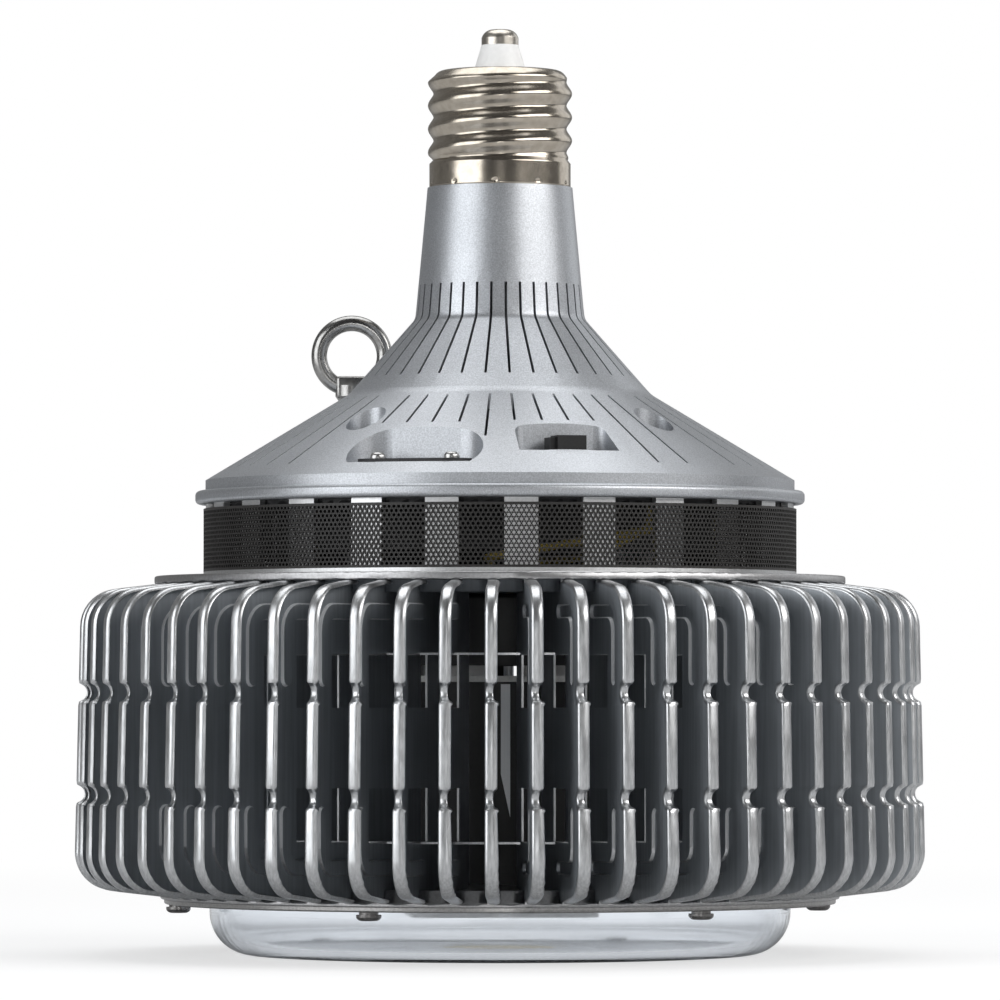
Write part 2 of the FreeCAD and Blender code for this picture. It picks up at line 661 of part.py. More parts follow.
def vent_and_tray():
    body = turned("vent_ring", "plate_top", [
        ("vent_radius - vent_wall", "0"),
        ("mesh_radius", "0"),
        ("mesh_radius", "vent_ring_height"),
        ("vent_radius", "vent_ring_height"),
        ("vent_radius", "vent_ring_height + vent_height"),
        ("vent_radius - vent_wall", "vent_ring_height + vent_height"),
    ], turn="180 / vent_count")
    window = new_sketch(body, "vent_window_plan", "XY_Plane", lift="vent_ring_height")
    inner = "(vent_radius - vent_wall - 6)"
    outer = "(vent_radius + 6)"
    half = "(vent_window_angle / 2)"
    trace(window, [
        (f"{inner} * cos({half})", f"0 - {inner} * sin({half})"),
        (f"{outer} * cos({half})", f"0 - {outer} * sin({half})"),
        (f"{outer} * cos({half})", f"{outer} * sin({half})"),
        (f"{inner} * cos({half})", f"{inner} * sin({half})"),
    ])
    cut = extrude(body, "Pocket", "vent_window", window, "vent_height + 1")
    repeat(body, "vent_windows", [cut], "vent_count")

    turned("mesh_band", "plate_top + vent_ring_height", [
        ("vent_radius + running_gap", "0"),
        ("mesh_radius", "0"),
        ("mesh_radius", "vent_height - mesh_drop"),
        ("vent_radius + running_gap", "vent_height - mesh_drop"),
    ])

    body = new_body("driver_tray", "housing_foot - tray_thickness")
    plan = new_sketch(body, "tray_plan", "XY_Plane")
    circle(plan, "0", "0", "tray_radius")
    reach = "bolt_circle * 0.70710678"
    for x, y in ((1, 1), (1, -1), (-1, 1), (-1, -1)):
        circle(plan, f"{x} * {reach}", f"{y} * {reach}", "bolt_radius + loose_gap")
    circle(plan, "38", "0 - 54", "5")
    extrude(body, "Pad", "tray_sheet", plan, "tray_thickness")
    screen = new_sketch(body, "screen_plan", "XY_Plane")
    circle(screen, "0", "0", "screen_radius")
    circle(screen, "0", "0", "screen_radius - screen_wall")
    extrude(body, "Pad", "chamber_screen", screen, "post_height - screen_gap", upward=False)

    turned_group("chamber_posts", "plate_top", [
        ("bolt_radius", "0"),
        ("bolt_radius + 2.5", "0"),
        ("bolt_radius + 2.5", "post_height"),
        ("bolt_radius", "post_height"),
    ], "bolt_circle", "4", "45")
    turned_group("post_screws", "fin_top", [
        ("0", "0 - bolt_head_height"),
        ("bolt_head_radius * 0.6", "0 - bolt_head_height"),
        ("bolt_head_radius", "0 - bolt_head_height * 0.4", "bolt_head_radius"),
        ("bolt_head_radius", "0"),
        ("bolt_radius", "0"),
        ("bolt_radius", "plate_thickness + 5"),
        ("0", "plate_thickness + 5"),
    ], "bolt_circle", "4", "45")


def heat_sink():
    slit = box_corners("slit_start", "0 - running_gap * 2", "base_radius + 5", "fin_wall + running_gap * 2")
    body = turned("top_plate", "fin_top", [
        ("core_radius", "0"),
        ("collar_inner", "0"),
        ("collar_inner", "0 - collar_depth"),
        ("collar_radius", "0 - collar_depth"),
        ("collar_radius", "0"),
        ("plate_radius - 0.6", "0"),
        ("plate_radius", "0.6", "0.6"),
        ("plate_radius", "plate_thickness - 0.6"),
        ("plate_radius - 0.6", "plate_thickness", "0.6"),
        ("core_radius", "plate_thickness"),
    ])
    holes = new_sketch(body, "post_hole_plan", "XY_Plane")
    reach = "bolt_circle * 0.70710678"
    for x, y in ((1, 1), (1, -1), (-1, 1), (-1, -1)):
        circle(holes, f"{x} * {reach}", f"{y} * {reach}", "bolt_radius")
    extrude(body, "Pocket", "post_holes", holes, "plate_thickness + 1")
    plan = new_sketch(body, "top_slit_plan", "XY_Plane")
    trace(plan, slit)
    cut = extrude(body, "Pocket", "top_slit", plan, "collar_depth + 1", upward=False)
    repeat(body, "top_slits", [cut], "fin_count")

    body = turned("base_plate", "base_foot", [
        ("0", "0"),
        ("lens_radius - lens_wall - loose_gap", "0"),
        ("lens_radius - lens_wall - loose_gap", "lip_top + gasket_thickness"),
        ("lens_lip_radius + loose_gap", "lip_top + gasket_thickness"),
        ("lens_lip_radius + loose_gap", "0"),
        ("base_radius - 0.5", "0"),
        ("base_radius", "0.5", "0.5"),
        ("base_radius", "base_rim"),
        ("collar_radius", "base_rim"),
        ("collar_radius", "base_rim + collar_depth"),
        ("0", "base_rim + collar_depth"),
    ])
    plan = new_sketch(body, "base_slit_plan", "XY_Plane", lift="base_rim - slit_bite")
    trace(plan, slit)
    cut = extrude(body, "Pocket", "base_slit", plan, "collar_depth + 2")
    repeat(body, "base_slits", [cut], "fin_count")
    holes = new_sketch(body, "lead_hole_plan", "XY_Plane")
    for side in (-1, 1):
        circle(holes, f"{side} * cob_lead_reach", "0", "lead_radius + loose_gap")
    extrude(body, "Pocket", "lead_holes", holes, "base_rim + collar_depth + 1")
    holes = new_sketch(body, "lens_screw_hole_plan", "XY_Plane")
    angle = "(lens_screw_azimuth - 90)"
    circle(holes, f"lens_screw_circle * cos({angle})", f"lens_screw_circle * sin({angle})", "lens_screw_radius")
    cut = extrude(body, "Pocket", "lens_screw_hole", holes, "base_rim + 1.6")
    repeat(body, "lens_screw_holes", [cut], "lens_screw_count")

    cooling_fins()


def cooling_fins():
    """Sheet fins with a folded outer edge, held in the slits of the two plates."""
    tall = "(fin_height + slit_bite)"
    body = new_body("cooling_fins", "fin_foot - slit_bite", many=True)
    sheet_plan = new_sketch(body, "fin_outline", "XZ_Plane")
    inset = "(1 - sin(fin_slope))"
    edge = [
        ("lip_foot", "0"),
        (f"fin_foot_radius - fin_corner * {inset}", "foot_corner - fin_corner * cos(fin_slope)"),
        ("fin_foot_radius", "foot_corner", "fin_corner"),
        ("fin_top_radius", "head_corner"),
        (f"fin_top_radius - fin_corner * {inset}", "head_corner + fin_corner * cos(fin_slope)", "fin_corner"),
        ("plate_radius", tall),
    ]
    trace(sheet_plan, [("fin_inner_radius", "0")] + edge + [("fin_inner_radius", tall)])
    for low in (f"{tall} - upper_tab_drop - fin_window_height", "lower_tab_rise + slit_bite"):
        high = f"{low} + fin_window_height"
        far = "fin_window_radius + fin_window_width"
        trace(sheet_plan, box_corners("fin_window_radius", low, far, high))
    one = [extrude(body, "Pad", "fin_sheet", sheet_plan, "fin_wall", upward=False)]

    lip = new_sketch(body, "fin_lip_section", "XZ_Plane")
    inner = "(fin_corner - fin_wall)"
    head_end = f"fin_top_radius - fin_corner + {inner} * sin(fin_slope)"
    foot_end = f"fin_foot_radius - fin_corner + {inner} * sin(fin_slope)"
    trace(lip, edge + [
        ("lip_head", tall),
        ("lip_head", f"{tall} - fin_wall"),
        ("plate_radius", f"{tall} - fin_wall"),
        (head_end, f"head_corner + {inner} * cos(fin_slope)"),
        ("fin_top_radius - fin_wall", "head_corner", f"-{inner}"),
        ("fin_foot_radius - fin_wall", "foot_corner"),
        (foot_end, f"foot_corner - {inner} * cos(fin_slope)", f"-{inner}"),
        ("lip_foot", "fin_wall"),
    ])
    one.append(extrude(body, "Pad", "fin_lip", lip, "fin_lip", upward=False))

    tabs = new_sketch(body, "fin_tab_section", "XZ_Plane")
    far = "fin_window_radius + fin_tab_width"
    for low in (f"{tall} - upper_tab_drop", "lower_tab_rise + slit_bite - fin_wall"):
        trace(tabs, box_corners("fin_window_radius", low, far, f"{low} + fin_wall"))
    length = "fin_window_radius * sin(360 / fin_count) - running_gap"
    one.append(extrude(body, "Pad", "fin_tabs", tabs, length, upward=False))

    notches = new_sketch(body, "fin_notch_plan", "XZ_Plane", lift="1")
    lean = "(fin_foot_radius - fin_top_radius) / (head_corner - foot_corner)"
    for level in (f"({tall} - upper_notch_drop)", "(lower_notch_rise + slit_bite)"):
        circle(notches, f"fin_foot_radius - {lean} * ({level} - foot_corner)", level, "fin_notch")
    one.append(extrude(body, "Pocket", "fin_notches", notches, "fin_lip + 2", upward=False))

    pattern = repeat(body, "fin_stack", one, "fin_count")
    pattern.TransformMode = "Whole shape"


def core():
    turned("core_column", "core_floor", [
        ("column_radius - column_wall", "0"),
        ("column_radius", "0"),
        ("column_radius", "core_board_foot - core_floor"),
        ("column_radius - column_wall", "core_board_foot - core_floor"),
    ])
    body = new_body("core_board", "core_board_foot")
    plan = new_sketch(body, "core_board_plan", "XY_Plane")
    circle(plan, "0", "0", "core_board_radius")
    for side in (-1, 1):
        circle(plan, f"{side} * terminal_spacing / 2", "0", "lead_radius + 0.8")
    extrude(body, "Pad", "core_board_sheet", plan, "board_thickness")
    body = new_body("terminal_blocks", "core_board_foot + board_thickness", many=True)
    plan = new_sketch(body, "terminal_plan", "XY_Plane")
    for side in (-1, 1):
        middle = f"{side} * terminal_spacing / 2"
        left = f"{middle} - terminal_length / 2"
        right = f"{middle} + terminal_length / 2"
        trace(plan, box_corners(left, "0 - terminal_front", right, "terminal_width - terminal_front"))
    extrude(body, "Pad", "terminal_bodies", plan, "terminal_height")

    # a cup over the terminals, standing on three feet so that air and leads get by
    body = turned("junction_cover", "core_board_foot + board_thickness", [
        ("cover_radius - cover_wall", "0"),
        ("cover_radius", "0"),
        ("cover_radius", "cover_height - cover_wall"),
        ("cover_radius - cover_wall", "cover_height", "cover_wall"),
        ("cover_mouth", "cover_height"),
        ("cover_mouth", "cover_height - cover_wall"),
        ("cover_radius - cover_wall", "cover_height - cover_wall"),
    ], turn="30")
    plan = new_sketch(body, "cover_gap_plan", "XY_Plane")
    trace(plan, [
        ("0", "0"),
        ("(cover_radius + 6) * cos(54)", "0 - (cover_radius + 6) * sin(54)"),
        ("(cover_radius + 6) / cos(54)", "0"),
        ("(cover_radius + 6) * cos(54)", "(cover_radius + 6) * sin(54)"),
    ])
    gap = extrude(body, "Pocket", "cover_gap", plan, "cover_foot_height")
    repeat(body, "cover_gaps", [gap], "3")


def driver():
    turned_group("board_spacers", "housing_foot", [
        ("0", "0"),
        ("spacer_radius", "0"),
        ("spacer_radius", "spacer_height"),
        ("0", "spacer_height"),
    ], "spacer_circle", "4", "0")
    body = new_body("driver_board", "driver_board_foot")
    plan = new_sketch(body, "driver_board_plan", "XY_Plane")
    circle(plan, "0", "0", "driver_board_radius")
    extrude(body, "Pad", "driver_board_sheet", plan, "board_thickness")
    body = new_body("transformer", "driver_board_top")
    plan = new_sketch(body, "transformer_plan", "XY_Plane")
    half = "transformer_width / 2"
    trace(plan, box_corners(f"0 - {half}", f"0 - {half}", half, half))
    extrude(body, "Pad", "transformer_core", plan, "transformer_height")
    winding = new_sketch(body, "winding_plan", "XY_Plane", lift="5")
    trace(winding, box_corners(f"0 - {half} + 5", f"0 - {half} - 4", f"{half} - 5", f"{half} + 4"))
    extrude(body, "Pad", "transformer_winding", winding, "transformer_height - 10")
    turned_group("bulk_capacitors", "driver_board_top", [
        ("0", "0"),
        ("capacitor_radius", "0"),
        ("capacitor_radius", "capacitor_height - 1"),
        ("capacitor_radius - 1", "capacitor_height", "1"),
        ("0", "capacitor_height"),
    ], "capacitor_circle", "3", "30")
    body = new_body("filter_choke", "driver_board_top")
    bind(body, "Placement.Base.y", "0 - capacitor_circle * 0.5")
    bind(body, "Placement.Base.x", "capacitor_circle * 0.8660254")
    section = new_sketch(body, "choke_section", "XZ_Plane")
    trace(section, box_corners("choke_radius - 5", "0", "choke_radius", "8"))
    revolve(body, "Revolution", "choke_ring", section)


def light_source():
    body = new_body("thermal_pad", "base_foot - led_pad_thickness")
    plan = new_sketch(body, "thermal_pad_plan", "XY_Plane")
    half = "led_side / 2"
    trace(plan, box_corners(f"0 - {half}", f"0 - {half}", half, half))
    extrude(body, "Pad", "thermal_pad_sheet", plan, "led_pad_thickness")
    body = new_body("led_substrate", "led_foot")
    plan = new_sketch(body, "led_substrate_plan", "XY_Plane")
    trace(plan, box_corners(f"0 - {half}", f"0 - {half}", half, half))
    extrude(body, "Pad", "led_substrate_sheet", plan, "led_thickness")
    turned("led_phosphor", "led_foot - 0.8", [
        ("0", "0"),
        ("led_window_radius - 0.8", "0"),
        ("led_window_radius", "0.8"),
        ("0", "0.8"),
    ])
    body = new_body("led_holder", "base_foot - holder_height")
    plan = new_sketch(body, "holder_plan", "XY_Plane")
    half = "holder_side / 2"
    trace(plan, [
        (f"0 - {half} + 6", f"0 - {half}", "6"),
        (f"{half} - 6", f"0 - {half}"),
        (half, f"0 - {half} + 6", "6"),
        (half, f"{half} - 6"),
        (f"{half} - 6", half, "6"),
        (f"0 - {half} + 6", half),
        (f"0 - {half}", f"{half} - 6", "6"),
        (f"0 - {half}", f"0 - {half} + 6"),
    ])
    extrude(body, "Pad", "holder_frame", plan, "holder_height")
    seat = new_sketch(body, "holder_seat_plan", "XY_Plane", lift="holder_height")
    half = "(led_side / 2 + running_gap)"
    trace(seat, box_corners(f"0 - {half}", f"0 - {half}", half, half))
    extrude(body, "Pocket", "holder_seat", seat, "led_pad_thickness + led_thickness", upward=False)
    mouth = new_sketch(body, "holder_mouth_section", "XZ_Plane")
    trace(mouth, [
        ("0", "0 - 1"),
        ("led_window_radius + 3", "0 - 1"),
        ("led_window_radius + running_gap", "holder_height"),
        ("0", "holder_height"),
    ])
    revolve(body, "Groove", "holder_mouth", mouth)
    turned("reflector_plate", "base_foot - reflector_thickness", [
        ("holder_side * 0.71", "0"),
        ("reflector_radius", "0"),
        ("reflector_radius", "reflector_thickness"),
        ("holder_side * 0.71", "reflector_thickness"),
    ])


def lens_group():
    turned("lens_gasket", "base_foot + lip_top", [
        ("lens_radius", "0"),
        ("lens_lip_radius", "0"),
        ("lens_lip_radius", "gasket_thickness"),
        ("lens_radius", "gasket_thickness"),
    ])
    turned("lens", "base_foot - lens_depth", [
        ("0", "0"),
        ("lens_radius - lens_corner", "0"),
        ("lens_radius", "lens_corner", "lens_corner"),
        ("lens_radius", "lens_depth - lens_rabbet"),
        ("lens_lip_radius", "lens_depth - lens_rabbet"),
        ("lens_lip_radius", "lens_depth + lip_top"),
        ("lens_radius - lens_wall", "lens_depth + lip_top"),
        ("lens_radius - lens_wall", "lens_corner"),
        ("lens_radius - lens_corner", "lens_wall", "-(lens_corner - lens_wall)"),
        ("0", "lens_wall"),
    ])
    bore = "lens_radius + loose_gap"
    body = turned("lens_ring", "ring_foot", [
        (bore, "0"),
        ("lens_ring_radius - 0.5", "0"),
        ("lens_ring_radius", "0.5", "0.5"),
        ("lens_ring_radius", "lens_ring_thickness"),
        ("lens_lip_radius + loose_gap", "lens_ring_thickness"),
        ("lens_lip_radius + loose_gap", "lens_ring_thickness - lens_rabbet"),
        (bore, "lens_ring_thickness - lens_rabbet"),
    ])
    holes = new_sketch(body, "ring_hole_plan", "XY_Plane")
    angle = "(lens_screw_azimuth - 90)"
    circle(holes, f"lens_screw_circle * cos({angle})", f"lens_screw_circle * sin({angle})", "lens_screw_radius")
    cut = extrude(body, "Pocket", "ring_hole", holes, "lens_ring_thickness + 1")
    repeat(body, "ring_holes", [cut], "lens_screw_count")
    turned_group("lens_washers", "ring_foot - washer_height", [
        ("lens_screw_radius", "0"),
        ("lens_screw_radius + 0.6", "0"),
        ("lens_screw_radius + 0.6", "washer_height"),
        ("lens_screw_radius", "washer_height"),
    ], "lens_screw_circle", "lens_screw_count", "lens_screw_azimuth - 90")
    turned_group("lens_screws", "ring_foot - washer_height", [
        ("0", "0 - lens_screw_crown"),
        ("lens_screw_head * 0.6", "0 - lens_screw_crown"),
        ("lens_screw_head", "0 - lens_screw_crown * 0.4", "lens_screw_crown"),
        ("lens_screw_head", "0"),
        ("lens_screw_radius", "0"),
        ("lens_screw_radius", "washer_height + lens_ring_thickness + base_rim + 1.2"),
        ("0", "washer_height + lens_ring_thickness + base_rim + 1.2"),
    ], "lens_screw_circle", "lens_screw_count", "lens_screw_azimuth - 90")


def lead(label, runs):
    """Insulated leads swept along straight runs joined by arcs; each run is (bend radius, points)."""
    solids = []
    thickness = value("lead_radius")
    for bend, texts in runs:
        points = [FreeCAD.Vector(*(value(text) for text in point)) for point in texts]
        edges = []
        start = points[0]
        for before, corner, after in zip(points, points[1:], points[2:]):
            back = (before - corner).normalize()
            ahead = (after - corner).normalize()
            half = back.getAngle(ahead) / 2
            reach = bend / math.tan(half)
            first = corner + back * reach
            last = corner + ahead * reach
            bisector = (back + ahead).normalize()
            crown = corner + bisector * (bend / math.sin(half) - bend)
            edges.append(Part.LineSegment(start, first).toShape())
            edges.append(Part.Arc(first, crown, last).toShape())
            start = last
        edges.append(Part.LineSegment(start, points[-1]).toShape())
        path = Part.Wire(edges)
        ring = Part.Wire([Part.Circle(points[0], points[1] - points[0], thickness).toShape()])
        solids.append(path.makePipeShell([ring], True, True))
    feature = doc.addObject("Part::Feature", label)
    feature.Label = label
    feature.Shape = solids[0] if len(solids) == 1 else Part.Compound(solids)
    feature.Placement = FreeCAD.Placement()
    return feature


def leads():
    lead("live_lead", [(6, [
        ("0", "0", "0 - contact_height - 3"),
        ("0", "0", "neck_top - 12"),
        ("0", "20", "shoulder_level + housing_foot - 10"),
        ("0", "20", "driver_board_top"),
    ])])
    wall = "root_radius - shell_wall - lead_radius - 1.7"
    lead("shell_lead", [(6, [
        (wall, "0", "neck_top + 4"),
        (wall, "0", "neck_top - 26"),
        ("22", "0", "shoulder_level + housing_foot - 10"),
        ("22", "0", "driver_board_top"),
    ])])
    high = "housing_foot - tray_thickness - 5"
    low = "plate_top + 4"
    side = "terminal_spacing / 2"
    terminal_top = "core_board_foot + board_thickness + terminal_height"
    middle = "terminal_width / 2 - terminal_front"
    runs = []
    for sign, start, bow in ((-1, "41", "0 - 66"), (1, "36", "0 - 61")):
        runs.append((4, [
            (start, "0 - 54", "housing_foot + 4"),
            (start, "0 - 54", high),
            (f"{sign} * {side} + 6", bow, low),
            (f"{sign} * 2.5", "0 - 3", low),
            (f"{sign} * 2.5", "0 - 3", f"{terminal_top} + 10"),
            (f"{sign} * {side}", middle, f"{terminal_top} + 6"),
            (f"{sign} * {side}", middle, terminal_top),
        ]))
    lead("led_leads", runs)
    runs = []
    for sign in (-1, 1):
        runs.append((4, [
            (f"{sign} * {side}", "terminal_width - terminal_front", "terminal_level"),
            (f"{sign} * {side}", "0", "terminal_level"),
            (f"{sign} * {side}", "0", "core_board_foot - 14"),
            (f"{sign} * cob_lead_reach", "0", "core_floor + 16"),
            (f"{sign} * cob_lead_reach", "0", "base_foot"),
        ]))
    lead("cob_leads", runs)


def main():
    screw_base()
    driver_housing()
    housing_fittings()
    vent_and_tray()
    heat_sink()
    core()
    driver()
    light_source()
    lens_group()
    leads()
    doc.recompute()

    os.makedirs("parts", exist_ok=True)
    for thing in doc.Objects:
        if "Invalid" in thing.State or "Error" in thing.State:
            raise RuntimeError(f"{thing.Label} did not compute: {thing.State}")
    for thing in doc.Objects:
        if thing.TypeId in ("PartDesign::Body", "Part::Feature"):
            if thing.Shape.isNull() or not thing.Shape.isValid():
                raise RuntimeError(f"{thing.Label} has no valid shape")
            thing.Shape.exportStep(f"parts/{thing.Label}.step")
            print(thing.Label, len(thing.Shape.Solids), round(thing.Shape.Volume / 1000, 2))


main()
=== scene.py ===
# %% [markdown]
# A high bay LED retrofit lamp, dressed for its portrait.
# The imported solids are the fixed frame: a mogul screw base, a slotted silver housing, a dark
# perforated band, a stack of folded sheet fins and a clear dished lens. This notebook gives every
# solid its finish, and remodels the few pieces whose fine form the solids leave out.

# %% Load the frame
import json
import math

import bmesh
import bpy
from mathutils import Matrix, Vector


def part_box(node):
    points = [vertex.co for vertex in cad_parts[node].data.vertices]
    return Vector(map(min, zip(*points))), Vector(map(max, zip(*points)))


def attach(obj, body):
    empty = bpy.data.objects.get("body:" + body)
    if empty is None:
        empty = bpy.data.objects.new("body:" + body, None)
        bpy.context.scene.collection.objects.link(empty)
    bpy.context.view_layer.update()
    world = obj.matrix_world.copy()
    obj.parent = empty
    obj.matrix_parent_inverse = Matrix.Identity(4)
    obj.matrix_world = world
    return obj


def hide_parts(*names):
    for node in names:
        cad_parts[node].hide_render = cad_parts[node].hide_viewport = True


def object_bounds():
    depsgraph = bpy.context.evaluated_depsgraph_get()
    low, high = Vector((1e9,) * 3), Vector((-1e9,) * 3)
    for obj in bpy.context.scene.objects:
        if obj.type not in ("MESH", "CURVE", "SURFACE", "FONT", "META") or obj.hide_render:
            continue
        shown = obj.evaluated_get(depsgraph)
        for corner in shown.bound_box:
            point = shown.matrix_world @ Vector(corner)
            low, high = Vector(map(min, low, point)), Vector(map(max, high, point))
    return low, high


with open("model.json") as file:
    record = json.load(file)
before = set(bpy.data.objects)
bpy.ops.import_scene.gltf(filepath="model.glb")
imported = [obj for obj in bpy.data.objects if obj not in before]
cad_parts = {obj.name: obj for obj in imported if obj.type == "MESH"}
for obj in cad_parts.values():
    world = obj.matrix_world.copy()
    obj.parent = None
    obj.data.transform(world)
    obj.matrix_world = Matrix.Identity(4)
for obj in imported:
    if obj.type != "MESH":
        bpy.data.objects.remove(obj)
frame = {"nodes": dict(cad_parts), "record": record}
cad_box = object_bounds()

MM = 0.001
scene = bpy.context.scene
scene.view_settings.view_transform = "Standard"
print("frame:", len(frame["nodes"]), "nodes, box", [round(n, 4) for p in cad_box for n in p])

# %% [markdown]
# The camera stands two metres off and a little to the left of the front, at the height of the
# fins. A long lens from that far keeps the lamp's sides almost parallel, as in a catalogue picture.

# %% Camera
CAMERA_AWAY = 1.95
CAMERA_TURN = math.radians(-4.0)
CAMERA_HEIGHT = -0.1791
CAMERA_LENS = 260.0
CAMERA_SENSOR = 36.0
AIM_HEIGHT = -0.12725

camera_data = bpy.data.cameras.new("camera")
camera_data.lens = CAMERA_LENS
camera_data.sensor_width = CAMERA_SENSOR
camera = bpy.data.objects.new("camera", camera_data)
scene.collection.objects.link(camera)
camera.location = (
    CAMERA_AWAY * math.sin(CAMERA_TURN),
    -CAMERA_AWAY * math.cos(CAMERA_TURN),
    CAMERA_HEIGHT,
)
aim = Vector((0.0, 0.0, AIM_HEIGHT)) - camera.location
camera.rotation_euler = aim.to_track_quat("-Z", "Y").to_euler()
scene.camera = camera
print("camera at", [round(n, 3) for n in camera.location])

# %% [markdown]
# The background is white by its own colour: the world shows white to the camera and through the
# glass, and the floor adds a part of its own white to the light that falls on it, so the lamp's
# shadow stays. The floor is clear from below, so that the lamp's underside can be looked at.
# Polished metal mirrors what stands round it, so the world that it sees is pale behind the lamp
# and falls off to a dark studio in front, which gives metal its dark tones.

# %% World
AMBIENT = 0.28
AMBIENT_TINT = (0.95, 0.97, 1.0, 1)
STUDIO_FRONT = 0.035
STUDIO_SIDE = 0.12
STUDIO_BACK = 0.2
SIDE_AT = 0.6
BACK_AT = 0.95
WHITE_FROM = -0.1
WHITE_FULL = 0.35


def grey(level):
    """A neutral colour of one level."""
    return (level, level, level, 1)


world = bpy.data.worlds.new("studio")
scene.world = world
world.use_nodes = True
sky = world.node_tree.nodes
sky_links = world.node_tree.links
sky.clear()
sky_out = sky.new("ShaderNodeOutputWorld")
rays = sky.new("ShaderNodeLightPath")
heading = sky.new("ShaderNodeTexCoord")
parts = sky.new("ShaderNodeSeparateXYZ")
sky_links.new(heading.outputs["Generated"], parts.inputs[0])

studio = sky.new("ShaderNodeValToRGB")
studio.color_ramp.elements[0].position = 0.0
studio.color_ramp.elements[0].color = grey(STUDIO_FRONT)
studio.color_ramp.elements[1].position = BACK_AT
studio.color_ramp.elements[1].color = grey(STUDIO_BACK)
side = studio.color_ramp.elements.new(SIDE_AT)
side.color = grey(STUDIO_SIDE)
depth = sky.new("ShaderNodeMapRange")
depth.inputs["From Min"].default_value = -1.0
depth.inputs["From Max"].default_value = 1.0
sky_links.new(parts.outputs["Y"], depth.inputs["Value"])
sky_links.new(depth.outputs["Result"], studio.inputs["Fac"])

soft = sky.new("ShaderNodeBackground")
soft.inputs["Color"].default_value = AMBIENT_TINT
soft.inputs["Strength"].default_value = AMBIENT
mirrored = sky.new("ShaderNodeBackground")
sky_links.new(studio.outputs["Color"], mirrored.inputs["Color"])
white = sky.new("ShaderNodeBackground")
white.inputs["Color"].default_value = grey(1)

for_metal = sky.new("ShaderNodeMixShader")
sky_links.new(rays.outputs["Is Glossy Ray"], for_metal.inputs["Fac"])
sky_links.new(soft.outputs[0], for_metal.inputs[1])
sky_links.new(mirrored.outputs[0], for_metal.inputs[2])
behind = sky.new("ShaderNodeMapRange")
behind.inputs["From Min"].default_value = WHITE_FROM
behind.inputs["From Max"].default_value = WHITE_FULL
sky_links.new(parts.outputs["Y"], behind.inputs["Value"])
through = sky.new("ShaderNodeMath")
through.operation = "MULTIPLY"
sky_links.new(rays.outputs["Is Transmission Ray"], through.inputs[0])
sky_links.new(behind.outputs["Result"], through.inputs[1])
seen = sky.new("ShaderNodeMath")
seen.operation = "MAXIMUM"
sky_links.new(rays.outputs["Is Camera Ray"], seen.inputs[0])
sky_links.new(through.outputs[0], seen.inputs[1])
for_eye = sky.new("ShaderNodeMixShader")
sky_links.new(seen.outputs[0], for_eye.inputs["Fac"])
sky_links.new(for_metal.outputs[0], for_eye.inputs[1])
sky_links.new(white.outputs[0], for_eye.inputs[2])
sky_links.new(for_eye.outputs[0], sky_out.inputs["Surface"])
print("world: white to the eye, dark studio in front for metal")

# %% Floor
FLOOR_SIZE = 6.0
FLOOR_CELLS = 8
FLOOR_GAP = 0.0002
FLOOR_BOUNCE = 0.58
FLOOR_LIT_WHITE = 0.4
FLOOR_OWN_WHITE = 0.62
FLOOR_NEAR = 0.3
FLOOR_FAR = 1.1

floor_bm = bmesh.new()
bmesh.ops.create_grid(floor_bm, x_segments=FLOOR_CELLS, y_segments=FLOOR_CELLS, size=FLOOR_SIZE)
bmesh.ops.translate(floor_bm, verts=floor_bm.verts[:], vec=(0, 0, cad_box[0].z - FLOOR_GAP))
floor_mesh = bpy.data.meshes.new("floor")
floor_bm.to_mesh(floor_mesh)
floor_bm.free()
floor = bpy.data.objects.new("floor", floor_mesh)
scene.collection.objects.link(floor)

floor_paint = bpy.data.materials.new("floor_white")
floor_paint.use_nodes = True
floor_nodes = floor_paint.node_tree.nodes
floor_links = floor_paint.node_tree.links
floor_nodes.clear()
floor_out = floor_nodes.new("ShaderNodeOutputMaterial")
floor_rays = floor_nodes.new("ShaderNodeLightPath")
lit = floor_nodes.new("ShaderNodeBsdfDiffuse")
lit.inputs["Color"].default_value = grey(FLOOR_BOUNCE)
lit_part = floor_nodes.new("ShaderNodeBsdfDiffuse")
lit_part.inputs["Color"].default_value = grey(FLOOR_LIT_WHITE)
own = floor_nodes.new("ShaderNodeEmission")
own.inputs["Strength"].default_value = FLOOR_OWN_WHITE
near = floor_nodes.new("ShaderNodeAddShader")
floor_links.new(lit_part.outputs[0], near.inputs[0])
floor_links.new(own.outputs[0], near.inputs[1])
far = floor_nodes.new("ShaderNodeEmission")
floor_place = floor_nodes.new("ShaderNodeTexCoord")
floor_reach = floor_nodes.new("ShaderNodeVectorMath")
floor_reach.operation = "LENGTH"
floor_links.new(floor_place.outputs["Object"], floor_reach.inputs[0])
fade_out = floor_nodes.new("ShaderNodeMapRange")
fade_out.interpolation_type = "SMOOTHSTEP"
fade_out.inputs["From Min"].default_value = FLOOR_NEAR
fade_out.inputs["From Max"].default_value = FLOOR_FAR
floor_links.new(floor_reach.outputs["Value"], fade_out.inputs["Value"])
by_reach = floor_nodes.new("ShaderNodeMixShader")
floor_links.new(fade_out.outputs["Result"], by_reach.inputs["Fac"])
floor_links.new(near.outputs[0], by_reach.inputs[1])
floor_links.new(far.outputs[0], by_reach.inputs[2])
floor_seen = floor_nodes.new("ShaderNodeMath")
floor_seen.operation = "MAXIMUM"
floor_links.new(floor_rays.outputs["Is Camera Ray"], floor_seen.inputs[0])
floor_links.new(floor_rays.outputs["Is Transmission Ray"], floor_seen.inputs[1])
floor_mix = floor_nodes.new("ShaderNodeMixShader")
floor_links.new(floor_seen.outputs[0], floor_mix.inputs["Fac"])
floor_links.new(lit.outputs[0], floor_mix.inputs[1])
floor_links.new(by_reach.outputs[0], floor_mix.inputs[2])
